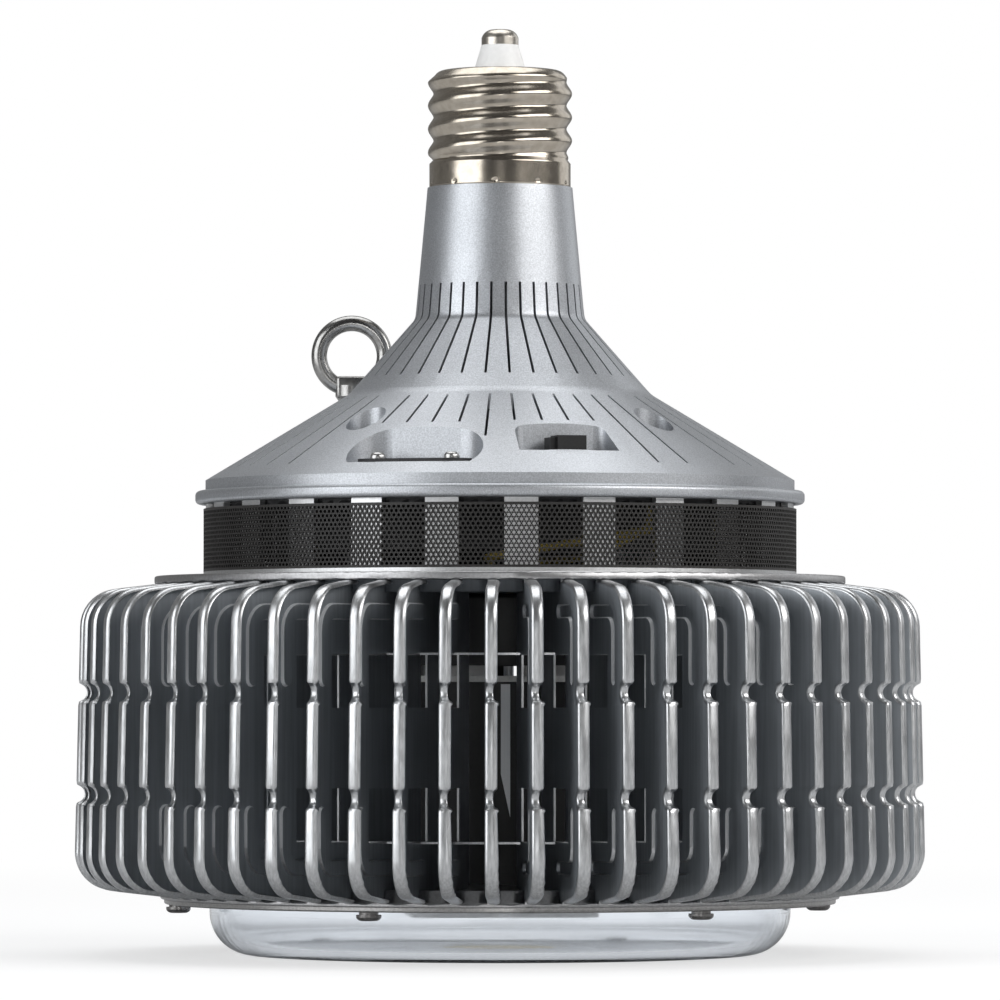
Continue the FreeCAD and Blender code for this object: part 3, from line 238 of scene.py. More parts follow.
under = floor_nodes.new("ShaderNodeNewGeometry")
clear = floor_nodes.new("ShaderNodeBsdfTransparent")
one_sided = floor_nodes.new("ShaderNodeMixShader")
floor_links.new(under.outputs["Backfacing"], one_sided.inputs["Fac"])
floor_links.new(floor_mix.outputs[0], one_sided.inputs[1])
floor_links.new(clear.outputs[0], one_sided.inputs[2])
floor_links.new(one_sided.outputs[0], floor_out.inputs["Surface"])
floor_mesh.materials.append(floor_paint)
print("floor at", round(cad_box[0].z - FLOOR_GAP, 4))

# %% [markdown]
# The neck of the lamp tells where the lights stood: bright a third of the way in from its left
# edge, dark just left of the middle, bright again on the right. That is a tall soft light far to
# the left, a flatter one higher up on the right, a third behind the lamp for its right edge, and
# a broad one overhead for the fins' tops. A small one beside the camera reaches between the fins.

# %% Lights
LIGHT_AIM = -0.14
COOL = (0.97, 0.985, 1.0)
WARM = (1.0, 0.99, 0.98)
PALE = (0.98, 0.99, 1.0)
NEUTRAL = (1.0, 1.0, 1.0)


def soft_light(name, turn, away, height, size, power, tint):
    """A soft box at a turn from the camera's side, facing the lamp."""
    data = bpy.data.lights.new(name, "AREA")
    data.shape = "RECTANGLE"
    data.size, data.size_y = size
    data.energy = power
    data.color = tint
    light = bpy.data.objects.new(name, data)
    scene.collection.objects.link(light)
    angle = math.radians(turn)
    light.location = (away * math.sin(angle), -away * math.cos(angle), height)
    toward = Vector((0, 0, LIGHT_AIM)) - light.location
    light.rotation_euler = toward.to_track_quat("-Z", "Y").to_euler()
    print(name, [round(n, 2) for n in light.location])


soft_light("left_light", -58, 1.4, 0.1, (1.25, 1.5), 13.5, COOL)
soft_light("right_light", 54, 1.5, 0.62, (1.8, 0.8), 17.0, WARM)
soft_light("back_light", 128, 1.4, 0.4, (1.0, 1.0), 2.2, COOL)
soft_light("top_light", 180, 0.3, 1.2, (1.3, 1.2), 9.5, PALE)
soft_light("front_light", -3, 1.6, -0.19, (0.2, 0.2), 0.8, NEUTRAL)

# %% [markdown]
# Finishes. Each one is a principled shader whose colour, gloss and surface all vary a little, at
# the scale of the real thing: flakes in paint, streaks in rolled sheet, haze on plating. One
# helper lays those three layers, because they differ only in numbers from one finish to the next.

# %% Helpers for finishes
EVEN = (1, 1, 1)
UPRIGHT = (1, 1, 0.04)
STREAK = (1, 1, 0.16)
GRAIN_DETAIL = 3.0
HAZE_DETAIL = 2.0
HAZE_SCALE = 30.0
NOISE_LOW, NOISE_HIGH = 0.35, 0.65
RELIEF_STRENGTH = 0.6


def spread(nodes, links, scale, stretch, detail):
    """A noise over the piece's own coordinates, longer along the axes that stretch makes small."""
    place = nodes.new("ShaderNodeTexCoord")
    mapping = nodes.new("ShaderNodeMapping")
    mapping.inputs["Scale"].default_value = stretch
    noise = nodes.new("ShaderNodeTexNoise")
    noise.inputs["Scale"].default_value = scale
    noise.inputs["Detail"].default_value = detail
    links.new(place.outputs["Object"], mapping.inputs["Vector"])
    links.new(mapping.outputs["Vector"], noise.inputs["Vector"])
    return noise.outputs["Fac"]


def between(nodes, links, source, low, high, start=NOISE_LOW, stop=NOISE_HIGH):
    """A value carried over from one range, a noise's by default, to another."""
    span = nodes.new("ShaderNodeMapRange")
    span.inputs["From Min"].default_value = start
    span.inputs["From Max"].default_value = stop
    span.inputs["To Min"].default_value = low
    span.inputs["To Max"].default_value = high
    links.new(source, span.inputs["Value"])
    return span.outputs["Result"]


def blend_colours(nodes, links, source, first, second):
    """Two colours mixed by a factor; either may come from another node."""
    mix = nodes.new("ShaderNodeMix")
    mix.data_type = "RGBA"
    for socket, colour in ((mix.inputs[6], first), (mix.inputs[7], second)):
        if isinstance(colour, tuple):
            socket.default_value = colour + (1,)
        else:
            links.new(colour, socket)
    links.new(source, mix.inputs[0])
    return mix.outputs[2]


def finish(name, light, dark, metallic, gloss, scale, stretch=EVEN, relief=0.0, haze=HAZE_SCALE):
    """A finish with fine grain, broad haze and a slight relief; gloss is its range of roughness."""
    material = bpy.data.materials.new(name)
    material.use_nodes = True
    nodes = material.node_tree.nodes
    links = material.node_tree.links
    shader = nodes["Principled BSDF"]
    shader.inputs["Metallic"].default_value = metallic
    grain = spread(nodes, links, scale, stretch, GRAIN_DETAIL)
    broad = spread(nodes, links, haze, EVEN, HAZE_DETAIL)
    share = between(nodes, links, grain, 0.0, 1.0)
    links.new(blend_colours(nodes, links, share, light, dark), shader.inputs["Base Color"])
    links.new(between(nodes, links, broad, gloss[0], gloss[1]), shader.inputs["Roughness"])
    if relief:
        bump = nodes.new("ShaderNodeBump")
        bump.inputs["Strength"].default_value = RELIEF_STRENGTH
        bump.inputs["Distance"].default_value = relief * MM
        links.new(grain, bump.inputs["Height"])
        links.new(bump.outputs["Normal"], shader.inputs["Normal"])
    return material


# %% Finishes by slot
FINISHES = {
    "plated_contact": finish(
        "bright_plate", (0.66, 0.62, 0.56), (0.57, 0.53, 0.47), 1.0, (0.22, 0.3), 900, relief=0.006,
    ),
    "white_insulator": finish(
        "white_glaze", (0.94, 0.94, 0.93), (0.89, 0.89, 0.88), 0.0, (0.25, 0.35), 700,
    ),
    "nickel_shell": finish(
        "nickel_plate", (0.62, 0.56, 0.475), (0.52, 0.465, 0.39), 1.0, (0.19, 0.26), 500, relief=0.004,
    ),
    "silver_paint": finish(
        "satin_silver", (0.595, 0.615, 0.645), (0.43, 0.446, 0.47), 0.9, (0.38, 0.44), 2800, relief=0.035,
    ),
    "steel_screws": finish(
        "zinc_steel", (0.66, 0.66, 0.65), (0.5, 0.5, 0.49), 1.0, (0.22, 0.34), 1500, relief=0.01,
    ),
    "stainless_eye": finish(
        "polished_stainless", (0.44, 0.435, 0.425), (0.35, 0.345, 0.335), 1.0, (0.2, 0.3), 1000,
        relief=0.01,
    ),
    "black_cover": finish(
        "black_rubber", (0.03, 0.03, 0.032), (0.018, 0.018, 0.02), 0.0, (0.5, 0.65), 1600, relief=0.03,
    ),
    "black_socket": finish(
        "black_moulding", (0.011, 0.011, 0.012), (0.007, 0.007, 0.008), 0.0, (0.4, 0.55), 1800, relief=0.02,
    ),
    "tray_sheet": finish(
        "black_tray", (0.026, 0.026, 0.028), (0.016, 0.016, 0.017), 0.0, (0.5, 0.62), 900, relief=0.01,
    ),
    "brass_spacers": finish(
        "turned_brass", (0.72, 0.6, 0.36), (0.62, 0.5, 0.28), 1.0, (0.25, 0.35), 900,
    ),
    "green_board": finish(
        "green_mask", (0.04, 0.18, 0.09), (0.03, 0.13, 0.07), 0.0, (0.3, 0.45), 500,
    ),
    "dark_ferrite": finish(
        "dark_ferrite", (0.09, 0.09, 0.1), (0.05, 0.05, 0.055), 0.0, (0.5, 0.7), 900, relief=0.02,
    ),
    "capacitor_sleeve": finish(
        "shrink_sleeve", (0.07, 0.08, 0.1), (0.05, 0.055, 0.07), 0.0, (0.25, 0.4), 400,
    ),
    "choke_winding": finish(
        "enamelled_wire", (0.6, 0.32, 0.15), (0.45, 0.22, 0.1), 1.0, (0.3, 0.4), 600,
    ),
    "vent_aluminium": finish(
        "satin_tab", (0.78, 0.785, 0.79), (0.69, 0.695, 0.7), 1.0, (0.34, 0.46), 1500, relief=0.008,
    ),
    "dark_mesh": finish(
        "dark_screen", (0.028, 0.026, 0.025), (0.017, 0.016, 0.015), 0.0, (0.42, 0.55), 1300, relief=0.01,
    ),
    "plate_aluminium": finish(
        "satin_plate", (0.54, 0.54, 0.545), (0.45, 0.45, 0.455), 1.0, (0.3, 0.42), 1400, relief=0.01,
    ),
    "fin_aluminium": finish(
        "rolled_sheet", (0.7, 0.71, 0.72), (0.54, 0.55, 0.56), 1.0, (0.28, 0.4), 1700,
        stretch=STREAK, relief=0.012, haze=160.0,
    ),
    "black_column": finish(
        "black_anodise", (0.009, 0.009, 0.01), (0.006, 0.006, 0.007), 0.0, (0.4, 0.52), 1200, relief=0.01,
    ),
    "pale_board": finish(
        "pale_fibre", (0.8, 0.8, 0.78), (0.7, 0.7, 0.68), 0.0, (0.4, 0.55), 900,
    ),
    "brown_insulation": finish(
        "brown_silicone", (0.2, 0.1, 0.05), (0.15, 0.07, 0.035), 0.0, (0.4, 0.55), 700,
    ),
    "blue_insulation": finish(
        "blue_silicone", (0.06, 0.14, 0.36), (0.045, 0.1, 0.28), 0.0, (0.4, 0.55), 700,
    ),
    "yellow_insulation": finish(
        "yellow_silicone", (0.72, 0.55, 0.1), (0.6, 0.44, 0.08), 0.0, (0.4, 0.55), 700,
    ),
    "grey_pad": finish(
        "grey_pad", (0.4, 0.4, 0.42), (0.33, 0.33, 0.35), 0.0, (0.6, 0.8), 900, relief=0.02,
    ),
    "white_ceramic": finish(
        "white_ceramic", (0.86, 0.86, 0.84), (0.8, 0.8, 0.78), 0.0, (0.4, 0.5), 900,
    ),
    "yellow_phosphor": finish(
        "yellow_phosphor", (0.86, 0.62, 0.1), (0.78, 0.52, 0.07), 0.0, (0.25, 0.4), 1500, relief=0.02,
    ),
    "white_holder": finish(
        "white_moulding", (0.86, 0.86, 0.85), (0.8, 0.8, 0.79), 0.0, (0.4, 0.5), 900, relief=0.01,
    ),
    "white_reflector": finish(
        "white_reflector", (0.88, 0.88, 0.88), (0.83, 0.83, 0.83), 0.0, (0.35, 0.5), 600,
    ),
    "grey_gasket": finish(
        "grey_silicone", (0.55, 0.55, 0.55), (0.47, 0.47, 0.47), 0.0, (0.5, 0.7), 800,
    ),
    "ring_steel": finish(
        "ring_steel", (0.46, 0.455, 0.45), (0.36, 0.355, 0.35), 1.0, (0.26, 0.38), 1400, relief=0.01,
    ),
}
# A darker, less metallic copy of the fin aluminium for the fin faces: painted shade between the fins.
fin_face_painted_shade = finish(
    "fin_face_painted_shade", (0.43, 0.46, 0.49), (0.36, 0.385, 0.41), 0.65, (0.38, 0.48), 900,
    stretch=UPRIGHT, relief=0.006,
)
# A pale, less metallic copy of the fin aluminium for the upper bead flanks: a painted highlight from the
# light above.
bead_flank_painted_highlight = finish(
    "bead_flank_painted_highlight", (0.78, 0.79, 0.8), (0.66, 0.67, 0.68), 0.3, (0.45, 0.6), 900, stretch=UPRIGHT,
)
# A darker copy of the screw steel: painted shade on the lens screws and washers under the ring.
screw_painted_shade = finish(
    "screw_painted_shade", (0.3, 0.29, 0.285), (0.2, 0.195, 0.19), 1.0, (0.26, 0.38), 1500, relief=0.01,
)
print("finishes by slot:", len(FINISHES))

# %% Clear lens
LENS_IOR = 1.49
LENS_HAZE = 60.0
LENS_GLOSS = (0.02, 0.09)
LENS_CLEAR, LENS_MILKY = (0.975, 0.985, 1.0), (0.95, 0.965, 0.985)
LENS_DEPTH_TINT = (0.45, 0.56, 0.68, 1)
LENS_DENSITY = 45.0

lens_glass = bpy.data.materials.new("clear_lens")
lens_glass.use_nodes = True
glass_nodes = lens_glass.node_tree.nodes
glass_links = lens_glass.node_tree.links
glass = glass_nodes["Principled BSDF"]
glass.inputs["Transmission Weight"].default_value = 1.0
glass.inputs["IOR"].default_value = LENS_IOR
glass_haze = spread(glass_nodes, glass_links, LENS_HAZE, EVEN, HAZE_DETAIL)
glass_tint = blend_colours(glass_nodes, glass_links, glass_haze, LENS_CLEAR, LENS_MILKY)
glass_links.new(glass_tint, glass.inputs["Base Color"])
glass_links.new(between(glass_nodes, glass_links, glass_haze, *LENS_GLOSS), glass.inputs["Roughness"])
depths = glass_nodes.new("ShaderNodeVolumeAbsorption")
depths.inputs["Color"].default_value = LENS_DEPTH_TINT
depths.inputs["Density"].default_value = LENS_DENSITY
glass_links.new(depths.outputs[0], glass_nodes["Material Output"].inputs["Volume"])
FINISHES["clear_lens"] = lens_glass
print("lens: clear, slightly hazed, bluish through its thick rim")

# %% Finish the solids
slot_of = {row["node"]: row["material_slot"] for row in frame["record"]["subparts"]}
for node, thing in frame["nodes"].items():
    material = FINISHES[slot_of[node]]
    thing.data.materials.clear()
    thing.data.materials.append(material)
# The lens screws and washers take the darker steel as painted shade.
for node in ("lens_screws", "lens_washers"):
    frame["nodes"][node].data.materials[0] = screw_painted_shade
print("solids finished:", len(slot_of))

# %% [markdown]
# Between the middle fins the dark column shows, with a narrow pale strip down its front whose
# lower end is cut on a slant. The strip is a painted highlight for the pale light seen between the fins, a
# field of colour masked by the column's own axes.

# %% Painted highlight strip on the column
STRIP_LEFT, STRIP_RIGHT = -1.6, 0.9
STRIP_TOP, STRIP_TAPER, STRIP_FOOT = -177.0, -201.0, -212.5
STRIP_HIGHLIGHT_COLOUR = (0.9, 0.92, 0.94)

column = finish("column_painted_highlight", (0.009, 0.009, 0.01), (0.006, 0.006, 0.007), 0.0, (0.4, 0.52), 1200)
column_nodes = column.node_tree.nodes
column_links = column.node_tree.links
column_shader = column_nodes["Principled BSDF"]
column_place = column_nodes.new("ShaderNodeTexCoord")
column_axes = column_nodes.new("ShaderNodeSeparateXYZ")
column_links.new(column_place.outputs["Object"], column_axes.inputs[0])
slant = between(
    column_nodes, column_links, column_axes.outputs["Z"],
    STRIP_RIGHT * MM, STRIP_LEFT * MM, STRIP_FOOT * MM, STRIP_TAPER * MM,
)


def overlap(first, second):
    """Where two masks are both one."""
    node = column_nodes.new("ShaderNodeMath")
    node.operation = "MULTIPLY"
    column_links.new(first, node.inputs[0])
    column_links.new(second, node.inputs[1])
    return node.outputs[0]


def side_of(axis, operation, limit):
    """One on one side of a limit, and nought on the other."""
    node = column_nodes.new("ShaderNodeMath")
    node.operation = operation
    column_links.new(column_axes.outputs[axis], node.inputs[0])
    if isinstance(limit, float):
        node.inputs[1].default_value = limit
    else:
        column_links.new(limit, node.inputs[1])
    return node.outputs[0]


across = overlap(side_of("X", "GREATER_THAN", slant), side_of("X", "LESS_THAN", STRIP_RIGHT * MM))
facing = overlap(side_of("Y", "LESS_THAN", 0.0), side_of("Z", "LESS_THAN", STRIP_TOP * MM))
black = column_shader.inputs["Base Color"].links[0].from_socket
# The pale strip is a painted highlight on the black column.
column_with_highlight = blend_colours(column_nodes, column_links, overlap(across, facing), black, STRIP_HIGHLIGHT_COLOUR)
column_links.new(column_with_highlight, column_shader.inputs["Base Color"])
frame["nodes"]["core_column"].data.materials[0] = column
print("column: pale strip,", STRIP_RIGHT - STRIP_LEFT, "mm wide")

# %% [markdown]
# New pieces are drawn the way a sheet-metal worker marks out a blank: an outline grows from one
# vertex, run by run and arc by arc, and the operators then turn, fill, fold and thicken it. All
# drawing is in millimetres, and one scale at the end brings it to metres.

# %% Helpers for drawing
Y_AXIS = (0, 1, 0)
Z_AXIS = (0, 0, 1)
SEAM = 1e-4


def run_to(bm, tip, r, z):
    """Carry an outline's last vertex on in a straight run."""
    new = bmesh.ops.extrude_vert_indiv(bm, verts=[tip])["verts"][0]
    new.co = (r, 0, z)
    return new


def swing(bm, tip, centre, degrees, steps):
    """Carry an outline's last vertex round an arc; positive is clockwise, seen from the front."""
    place = (centre[0], 0, centre[1])
    made = bmesh.ops.spin(
        bm, geom=[tip], cent=place, axis=Y_AXIS, angle=math.radians(degrees), steps=steps,
    )
    return [item for item in made["geom_last"] if isinstance(item, bmesh.types.BMVert)][0]


def turn(bm, steps):
    """Turn everything drawn so far about the lamp's axis into a closed surface."""
    bmesh.ops.spin(
        bm, geom=bm.verts[:] + bm.edges[:], cent=(0, 0, 0), axis=Z_AXIS,
        angle=math.tau, steps=steps, use_merge=True,
    )
    bmesh.ops.remove_doubles(bm, verts=bm.verts[:], dist=SEAM)
    bmesh.ops.recalc_face_normals(bm, faces=bm.faces[:])


def keep(bm, name, slot, nodes=(), sharp=35, others=()):
    """Turn a drawing into a piece on the lamp, in metres, smooth but for its sharp edges."""
    bmesh.ops.scale(bm, vec=(MM, MM, MM), verts=bm.verts[:])
    mesh = bpy.data.meshes.new(name)
    bm.to_mesh(mesh)
    bm.free()
    mesh.shade_smooth()
    mesh.set_sharp_from_angle(angle=math.radians(sharp))
    mesh.materials.append(FINISHES[slot])
    for material in others:
        mesh.materials.append(material)
    piece = bpy.data.objects.new(name, mesh)
    scene.collection.objects.link(piece)
    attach(piece, "root")
    if nodes:
        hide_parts(*nodes)
    mesh.calc_loop_triangles()
    print(name, len(mesh.loop_triangles), "triangles")
    return piece


# %% [markdown]
# Tray, plates and lens ring are turned shapes with small rounded edges. A solid arrives as
# loose triangles, over which light breaks up along a narrow rounding. A merged copy with normals
# weighted by each face's area lets it run evenly, and keeps the form as it is. The collars under
# the top plate are the plate's own metal, given the darker fin face material as painted shade where
# plate and fins shade them. The tray's hanging screen closes the chamber at the back, where no leads pass.

# %% Evenly lit copies
COLLAR_RADIUS = 92.0
COLLAR_DROP = 0.05
SCREEN_GAP = 0.3
SCREEN_BACK = 5.0
LEVEL_SLACK = 0.01
COPY_MERGE = 0.002
COPY_SHARP = 32

plate_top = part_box("top_plate")[1].z / MM
collar_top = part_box("cooling_fins")[1].z / MM - COLLAR_DROP


def relit(node, name, rework=None, others=()):
    """A merged copy of a solid, shaded smoothly over its rounded edges."""
    bm = bmesh.new()
    bm.from_mesh(frame["nodes"][node].data)
    bmesh.ops.scale(bm, vec=(1 / MM, 1 / MM, 1 / MM), verts=bm.verts[:])
    bmesh.ops.remove_doubles(bm, verts=bm.verts[:], dist=COPY_MERGE)
    if rework:
        rework(bm)
    piece = keep(bm, name, slot_of[node], [node], COPY_SHARP, others)
    if "custom_normal" in piece.data.attributes:
        piece.data.attributes.remove(piece.data.attributes["custom_normal"])
    even = piece.modifiers.new("even_light", "WEIGHTED_NORMAL")
    even.mode = "FACE_AREA_WITH_ANGLE"
    even.keep_sharp = True


def collar_painted_shade(bm):
    """Paint shade on the upright collars under the plate by giving them the second, darker material."""
    for face in bm.faces:
        middle = face.calc_center_median()
        if middle.z < collar_top and math.hypot(middle.x, middle.y) < COLLAR_RADIUS:
            face.material_index = 1


def lower_screen(bm):
    """Bring the back half of the tray's hanging screen down to the plate."""
    foot = min(v.co.z for v in bm.verts)
    for vert in bm.verts:
        if vert.co.z < foot + LEVEL_SLACK and vert.co.y > SCREEN_BACK:
            vert.co.z = plate_top + SCREEN_GAP


relit("driver_tray", "chamber_tray", lower_screen)
# The top plate's collars take the darker fin face material as painted shade.
relit("top_plate", "sink_top", collar_painted_shade, (fin_face_painted_shade,))
relit("base_plate", "sink_base")
relit("lens_ring", "lens_frame")

# %% [markdown]
# The housing's flange has a full round edge that catches a line of light all the way round. It is
# drawn once more as a turned strip with close steps, a hair proud of the solid, so that the line
# stays even.

# %% Flange edge
flange_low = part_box("driver_housing")[0] / MM
FLANGE_RADIUS = -flange_low.x
FLANGE_HEIGHT = 3.5
FLANGE_ROUND = 1.2
FLANGE_LAP = 0.4
FLANGE_STEPS = 256
ARC_STEPS = 10
PROUD = 0.03

bm = bmesh.new()
ring_in = FLANGE_RADIUS - FLANGE_ROUND
reach = FLANGE_ROUND + PROUD
low_arc = flange_low.z + FLANGE_ROUND
high_arc = flange_low.z + FLANGE_HEIGHT - FLANGE_ROUND
tip = start = bm.verts.new((ring_in - FLANGE_LAP, 0, low_arc - reach + PROUD * 2))
tip = run_to(bm, tip, ring_in, low_arc - reach)
tip = swing(bm, tip, (ring_in, low_arc), -90, ARC_STEPS)
tip = run_to(bm, tip, ring_in + reach, high_arc)
tip = swing(bm, tip, (ring_in, high_arc), -90, ARC_STEPS)
tip = run_to(bm, tip, ring_in - FLANGE_LAP, high_arc + reach - PROUD * 2)
bm.edges.new((tip, start))
turn(bm, FLANGE_STEPS)
keep(bm, "flange_edge", "silver_paint")

# %% [markdown]
# The screw shell is rolled from thin brass and nickel plated. Its thread is one smooth wave that
# climbs a pitch each turn. A turned sleeve with close rows is pushed in and out by that wave,
# which fades at both ends as a rolled thread does. Small stakes pressed in along the skirt's
# lower edge lock the shell to the neck.

# %% Screw shell
shell_low, shell_high = (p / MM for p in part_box("screw_shell"))
SHELL_ROOT = 18.0
SHELL_SKIRT = 19.1
SHELL_BORE = 17.2
SHELL_MOUTH = 7.2
SHELL_ROUND = 2.6
SHELL_STEPS = 300
SHELL_SHARP = 60
SKIRT_TOP = shell_low.z + 6.5
SKIRT_HEM = 0.15
HEM_IN, HEM_RISE = 0.3, 0.2
WALL_SLACK, SKIRT_SLACK = 2.0, 0.5
SKIRT_BEND = 1.0
SKIRT_ROWS, WALL_ROWS, ROUND_ROWS = 21, 80, 6
THREAD_DEPTH = 1.5
THREAD_PITCH = 6.35
THREAD_FULLNESS = 0.85
THREAD_START, THREAD_RISE = 0.6, 1.6
THREAD_STOP, THREAD_FALL = 1.2, 1.8
STAKE_COUNT = 10
STAKE_FIRST = math.radians(-134.0)
STAKE_SIZE = 0.6
STAKE_DEPTH = 0.45
STAKE_RISE = 0.8
STAKE_REACH = 4.0

bm = bmesh.new()
tip = bm.verts.new((SHELL_BORE, 0, shell_low.z + HEM_IN))
tip = run_to(bm, tip, SHELL_SKIRT - SKIRT_HEM, shell_low.z)
tip = run_to(bm, tip, SHELL_SKIRT, shell_low.z + HEM_RISE)
tip = run_to(bm, tip, SHELL_SKIRT, SKIRT_TOP)
skirt = tip.link_edges[0]
tip = run_to(bm, tip, SHELL_ROOT, SKIRT_TOP + SKIRT_BEND)
tip = run_to(bm, tip, SHELL_ROOT, shell_high.z - SHELL_ROUND)
wall = tip.link_edges[0]
tip = swing(bm, tip, (SHELL_ROOT - SHELL_ROUND, shell_high.z - SHELL_ROUND), -90, ROUND_ROWS)
run_to(bm, tip, SHELL_MOUTH, shell_high.z)
bmesh.ops.subdivide_edges(bm, edges=[skirt], cuts=SKIRT_ROWS)
bmesh.ops.subdivide_edges(bm, edges=[wall], cuts=WALL_ROWS)
turn(bm, SHELL_STEPS)
print("shell sleeve:", len(bm.verts), "vertices")

# %% Roll the thread
thread_low = SKIRT_TOP + THREAD_START
thread_high = shell_high.z - THREAD_STOP


def fade(level):
    """How far the thread is rolled at a height: nothing at its ends, full in between."""
    rise = (level - thread_low) / THREAD_RISE
    fall = (thread_high - level) / THREAD_FALL
    return max(0.0, min(1.0, rise, fall))


for vert in bm.verts:
    angle = math.atan2(vert.co.y, vert.co.x)
    reach = math.hypot(vert.co.x, vert.co.y)
    push = 0.0
    if thread_low < vert.co.z < thread_high and reach > SHELL_ROOT - WALL_SLACK:
        phase = math.tau * (vert.co.z - SKIRT_TOP) / THREAD_PITCH - angle
        push = THREAD_DEPTH * (0.5 + 0.5 * math.cos(phase)) ** THREAD_FULLNESS * fade(vert.co.z)
    elif vert.co.z < shell_low.z + STAKE_REACH and reach > SHELL_SKIRT - SKIRT_SLACK:
        step = math.tau / STAKE_COUNT
        off = (angle - STAKE_FIRST + step / 2) % step - step / 2
        apart = math.hypot(off * SHELL_SKIRT, vert.co.z - shell_low.z - STAKE_RISE)
        push = -STAKE_DEPTH * math.exp(-((apart / STAKE_SIZE) ** 2) * 2)
    vert.co.x += push * math.cos(angle)
    vert.co.y += push * math.sin(angle)
keep(bm, "rolled_shell", "nickel_shell", ["screw_shell"], SHELL_SHARP)

# %% [markdown]
# The safety eye stands on a forged foot, a small block with soft edges that the ring grows out of.
# The solid gives the ring and the shank. A bevelled block set over both gives the foot.

# %% Eye foot
eye_low, eye_high = (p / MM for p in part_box("eye_bolt"))
EYE_WIRE = 4.3
EYE_OUTER = 22.3
FOOT_SIZE = (8.8, 5.6, 6.2)
FOOT_BEVEL = 0.9
FOOT_LIFT = 0.3

bm = bmesh.new()
bmesh.ops.create_cube(bm, size=1.0)
bmesh.ops.scale(bm, vec=FOOT_SIZE, verts=bm.verts[:])
bmesh.ops.bevel(
    bm, geom=bm.edges[:], offset=FOOT_BEVEL, affect="EDGES", segments=3, profile=0.5, material=-1,
)
foot_level = eye_high.z - EYE_OUTER + EYE_WIRE / 2 + FOOT_LIFT
foot_place = ((eye_low.x + eye_high.x) / 2, (eye_low.y + eye_high.y) / 2, foot_level)
bmesh.ops.translate(bm, vec=foot_place, verts=bm.verts[:])
print("eye box", [round(n, 1) for n in eye_low], [round(n, 1) for n in eye_high])
keep(bm, "eye_foot", "stainless_eye")

# %% [markdown]
# The vent band is a strip of dark perforated steel. Its holes sit in a honeycomb, so one cell is
# a hexagon with a hole in it. Cells are stacked into one column, each half a pitch on from the
# last. A duplicating spin repeats the column round the lamp, and the screen then gets its thickness.

# %% Perforated band
band_low, band_high = (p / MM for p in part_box("mesh_band"))
BAND_RADIUS = 80.0
BAND_WALL = 0.4
BAND_HOLES = 380
BAND_ROWS = 14
BAND_STEPS = 190
BAND_SHARP = 30
BAND_MERGE = 0.02
HOLE_SIDE = 0.5
EDGE_LAP = 0.3
EDGE_PROUD = 0.02

band_pitch = math.tau * BAND_RADIUS / BAND_HOLES
cell_side = band_pitch / math.sqrt(3.0)
row_pitch = 1.5 * cell_side
first_row = (band_low.z + band_high.z) / 2 - row_pitch * (BAND_ROWS - 1) / 2
last_row = first_row + row_pitch * (BAND_ROWS - 1)

bm = bmesh.new()
for row in range(BAND_ROWS):
    made = bmesh.ops.create_circle(bm, cap_ends=True, segments=6, radius=cell_side)
    cell = made["verts"]
    face = cell[0].link_faces[0]
    rim = bmesh.ops.inset_region(
        bm, faces=[face], thickness=(cell_side - HOLE_SIDE) * math.cos(math.radians(30)),
        use_even_offset=True, use_boundary=True,
    )
    ring = list({v for f in rim["faces"] for v in f.verts})
    bmesh.ops.delete(bm, geom=[face], context="FACES_ONLY")
    stand = Matrix.Translation((BAND_RADIUS, 0, first_row + row * row_pitch))
    stand = stand @ Matrix.Rotation(math.radians(90), 4, "Y")
    bmesh.ops.transform(bm, matrix=stand, verts=ring)
    half = math.tau / BAND_HOLES * (0.5 if row % 2 else 0.0)
    bmesh.ops.rotate(bm, verts=ring, cent=(0, 0, 0), matrix=Matrix.Rotation(half, 3, "Z"))
bmesh.ops.spin(
    bm, geom=bm.verts[:] + bm.edges[:] + bm.faces[:], cent=(0, 0, 0), axis=Z_AXIS,
    angle=math.tau * (BAND_HOLES - 1) / BAND_HOLES, steps=BAND_HOLES - 1, use_duplicate=True,
)
bmesh.ops.remove_doubles(bm, verts=bm.verts[:], dist=BAND_MERGE)
bmesh.ops.recalc_face_normals(bm, faces=bm.faces[:])
bmesh.ops.solidify(bm, geom=bm.faces[:], thickness=BAND_WALL)
keep(bm, "band_screen", "dark_mesh", ["mesh_band"], BAND_SHARP)

# %% Plain edges of the band
lap = row_pitch * EDGE_LAP
bm = bmesh.new()
for low, high in ((band_low.z, first_row - lap), (last_row + lap, band_high.z)):
    tip = start = bm.verts.new((BAND_RADIUS - BAND_WALL, 0, low))
    tip = run_to(bm, tip, BAND_RADIUS + EDGE_PROUD, low)
    tip = run_to(bm, tip, BAND_RADIUS + EDGE_PROUD, high)
    tip = run_to(bm, tip, BAND_RADIUS - BAND_WALL, high)
    bm.edges.new((tip, start))
turn(bm, BAND_STEPS)
keep(bm, "band_edges", "dark_mesh")

# %% [markdown]
# A fin is a blank of rolled aluminium: two windows, two pressed beads that stiffen it, and an
# outer edge folded over into a lip. The lip follows the edge round its corners and into two
# notches, where half-round bites narrow it. The outline is drawn and filled flat, the beads are
# inset and pressed out, the edge is folded in short steps round a bend, and the whole blank gets
# its thickness. One fin is then stamped sixty times round the lamp.

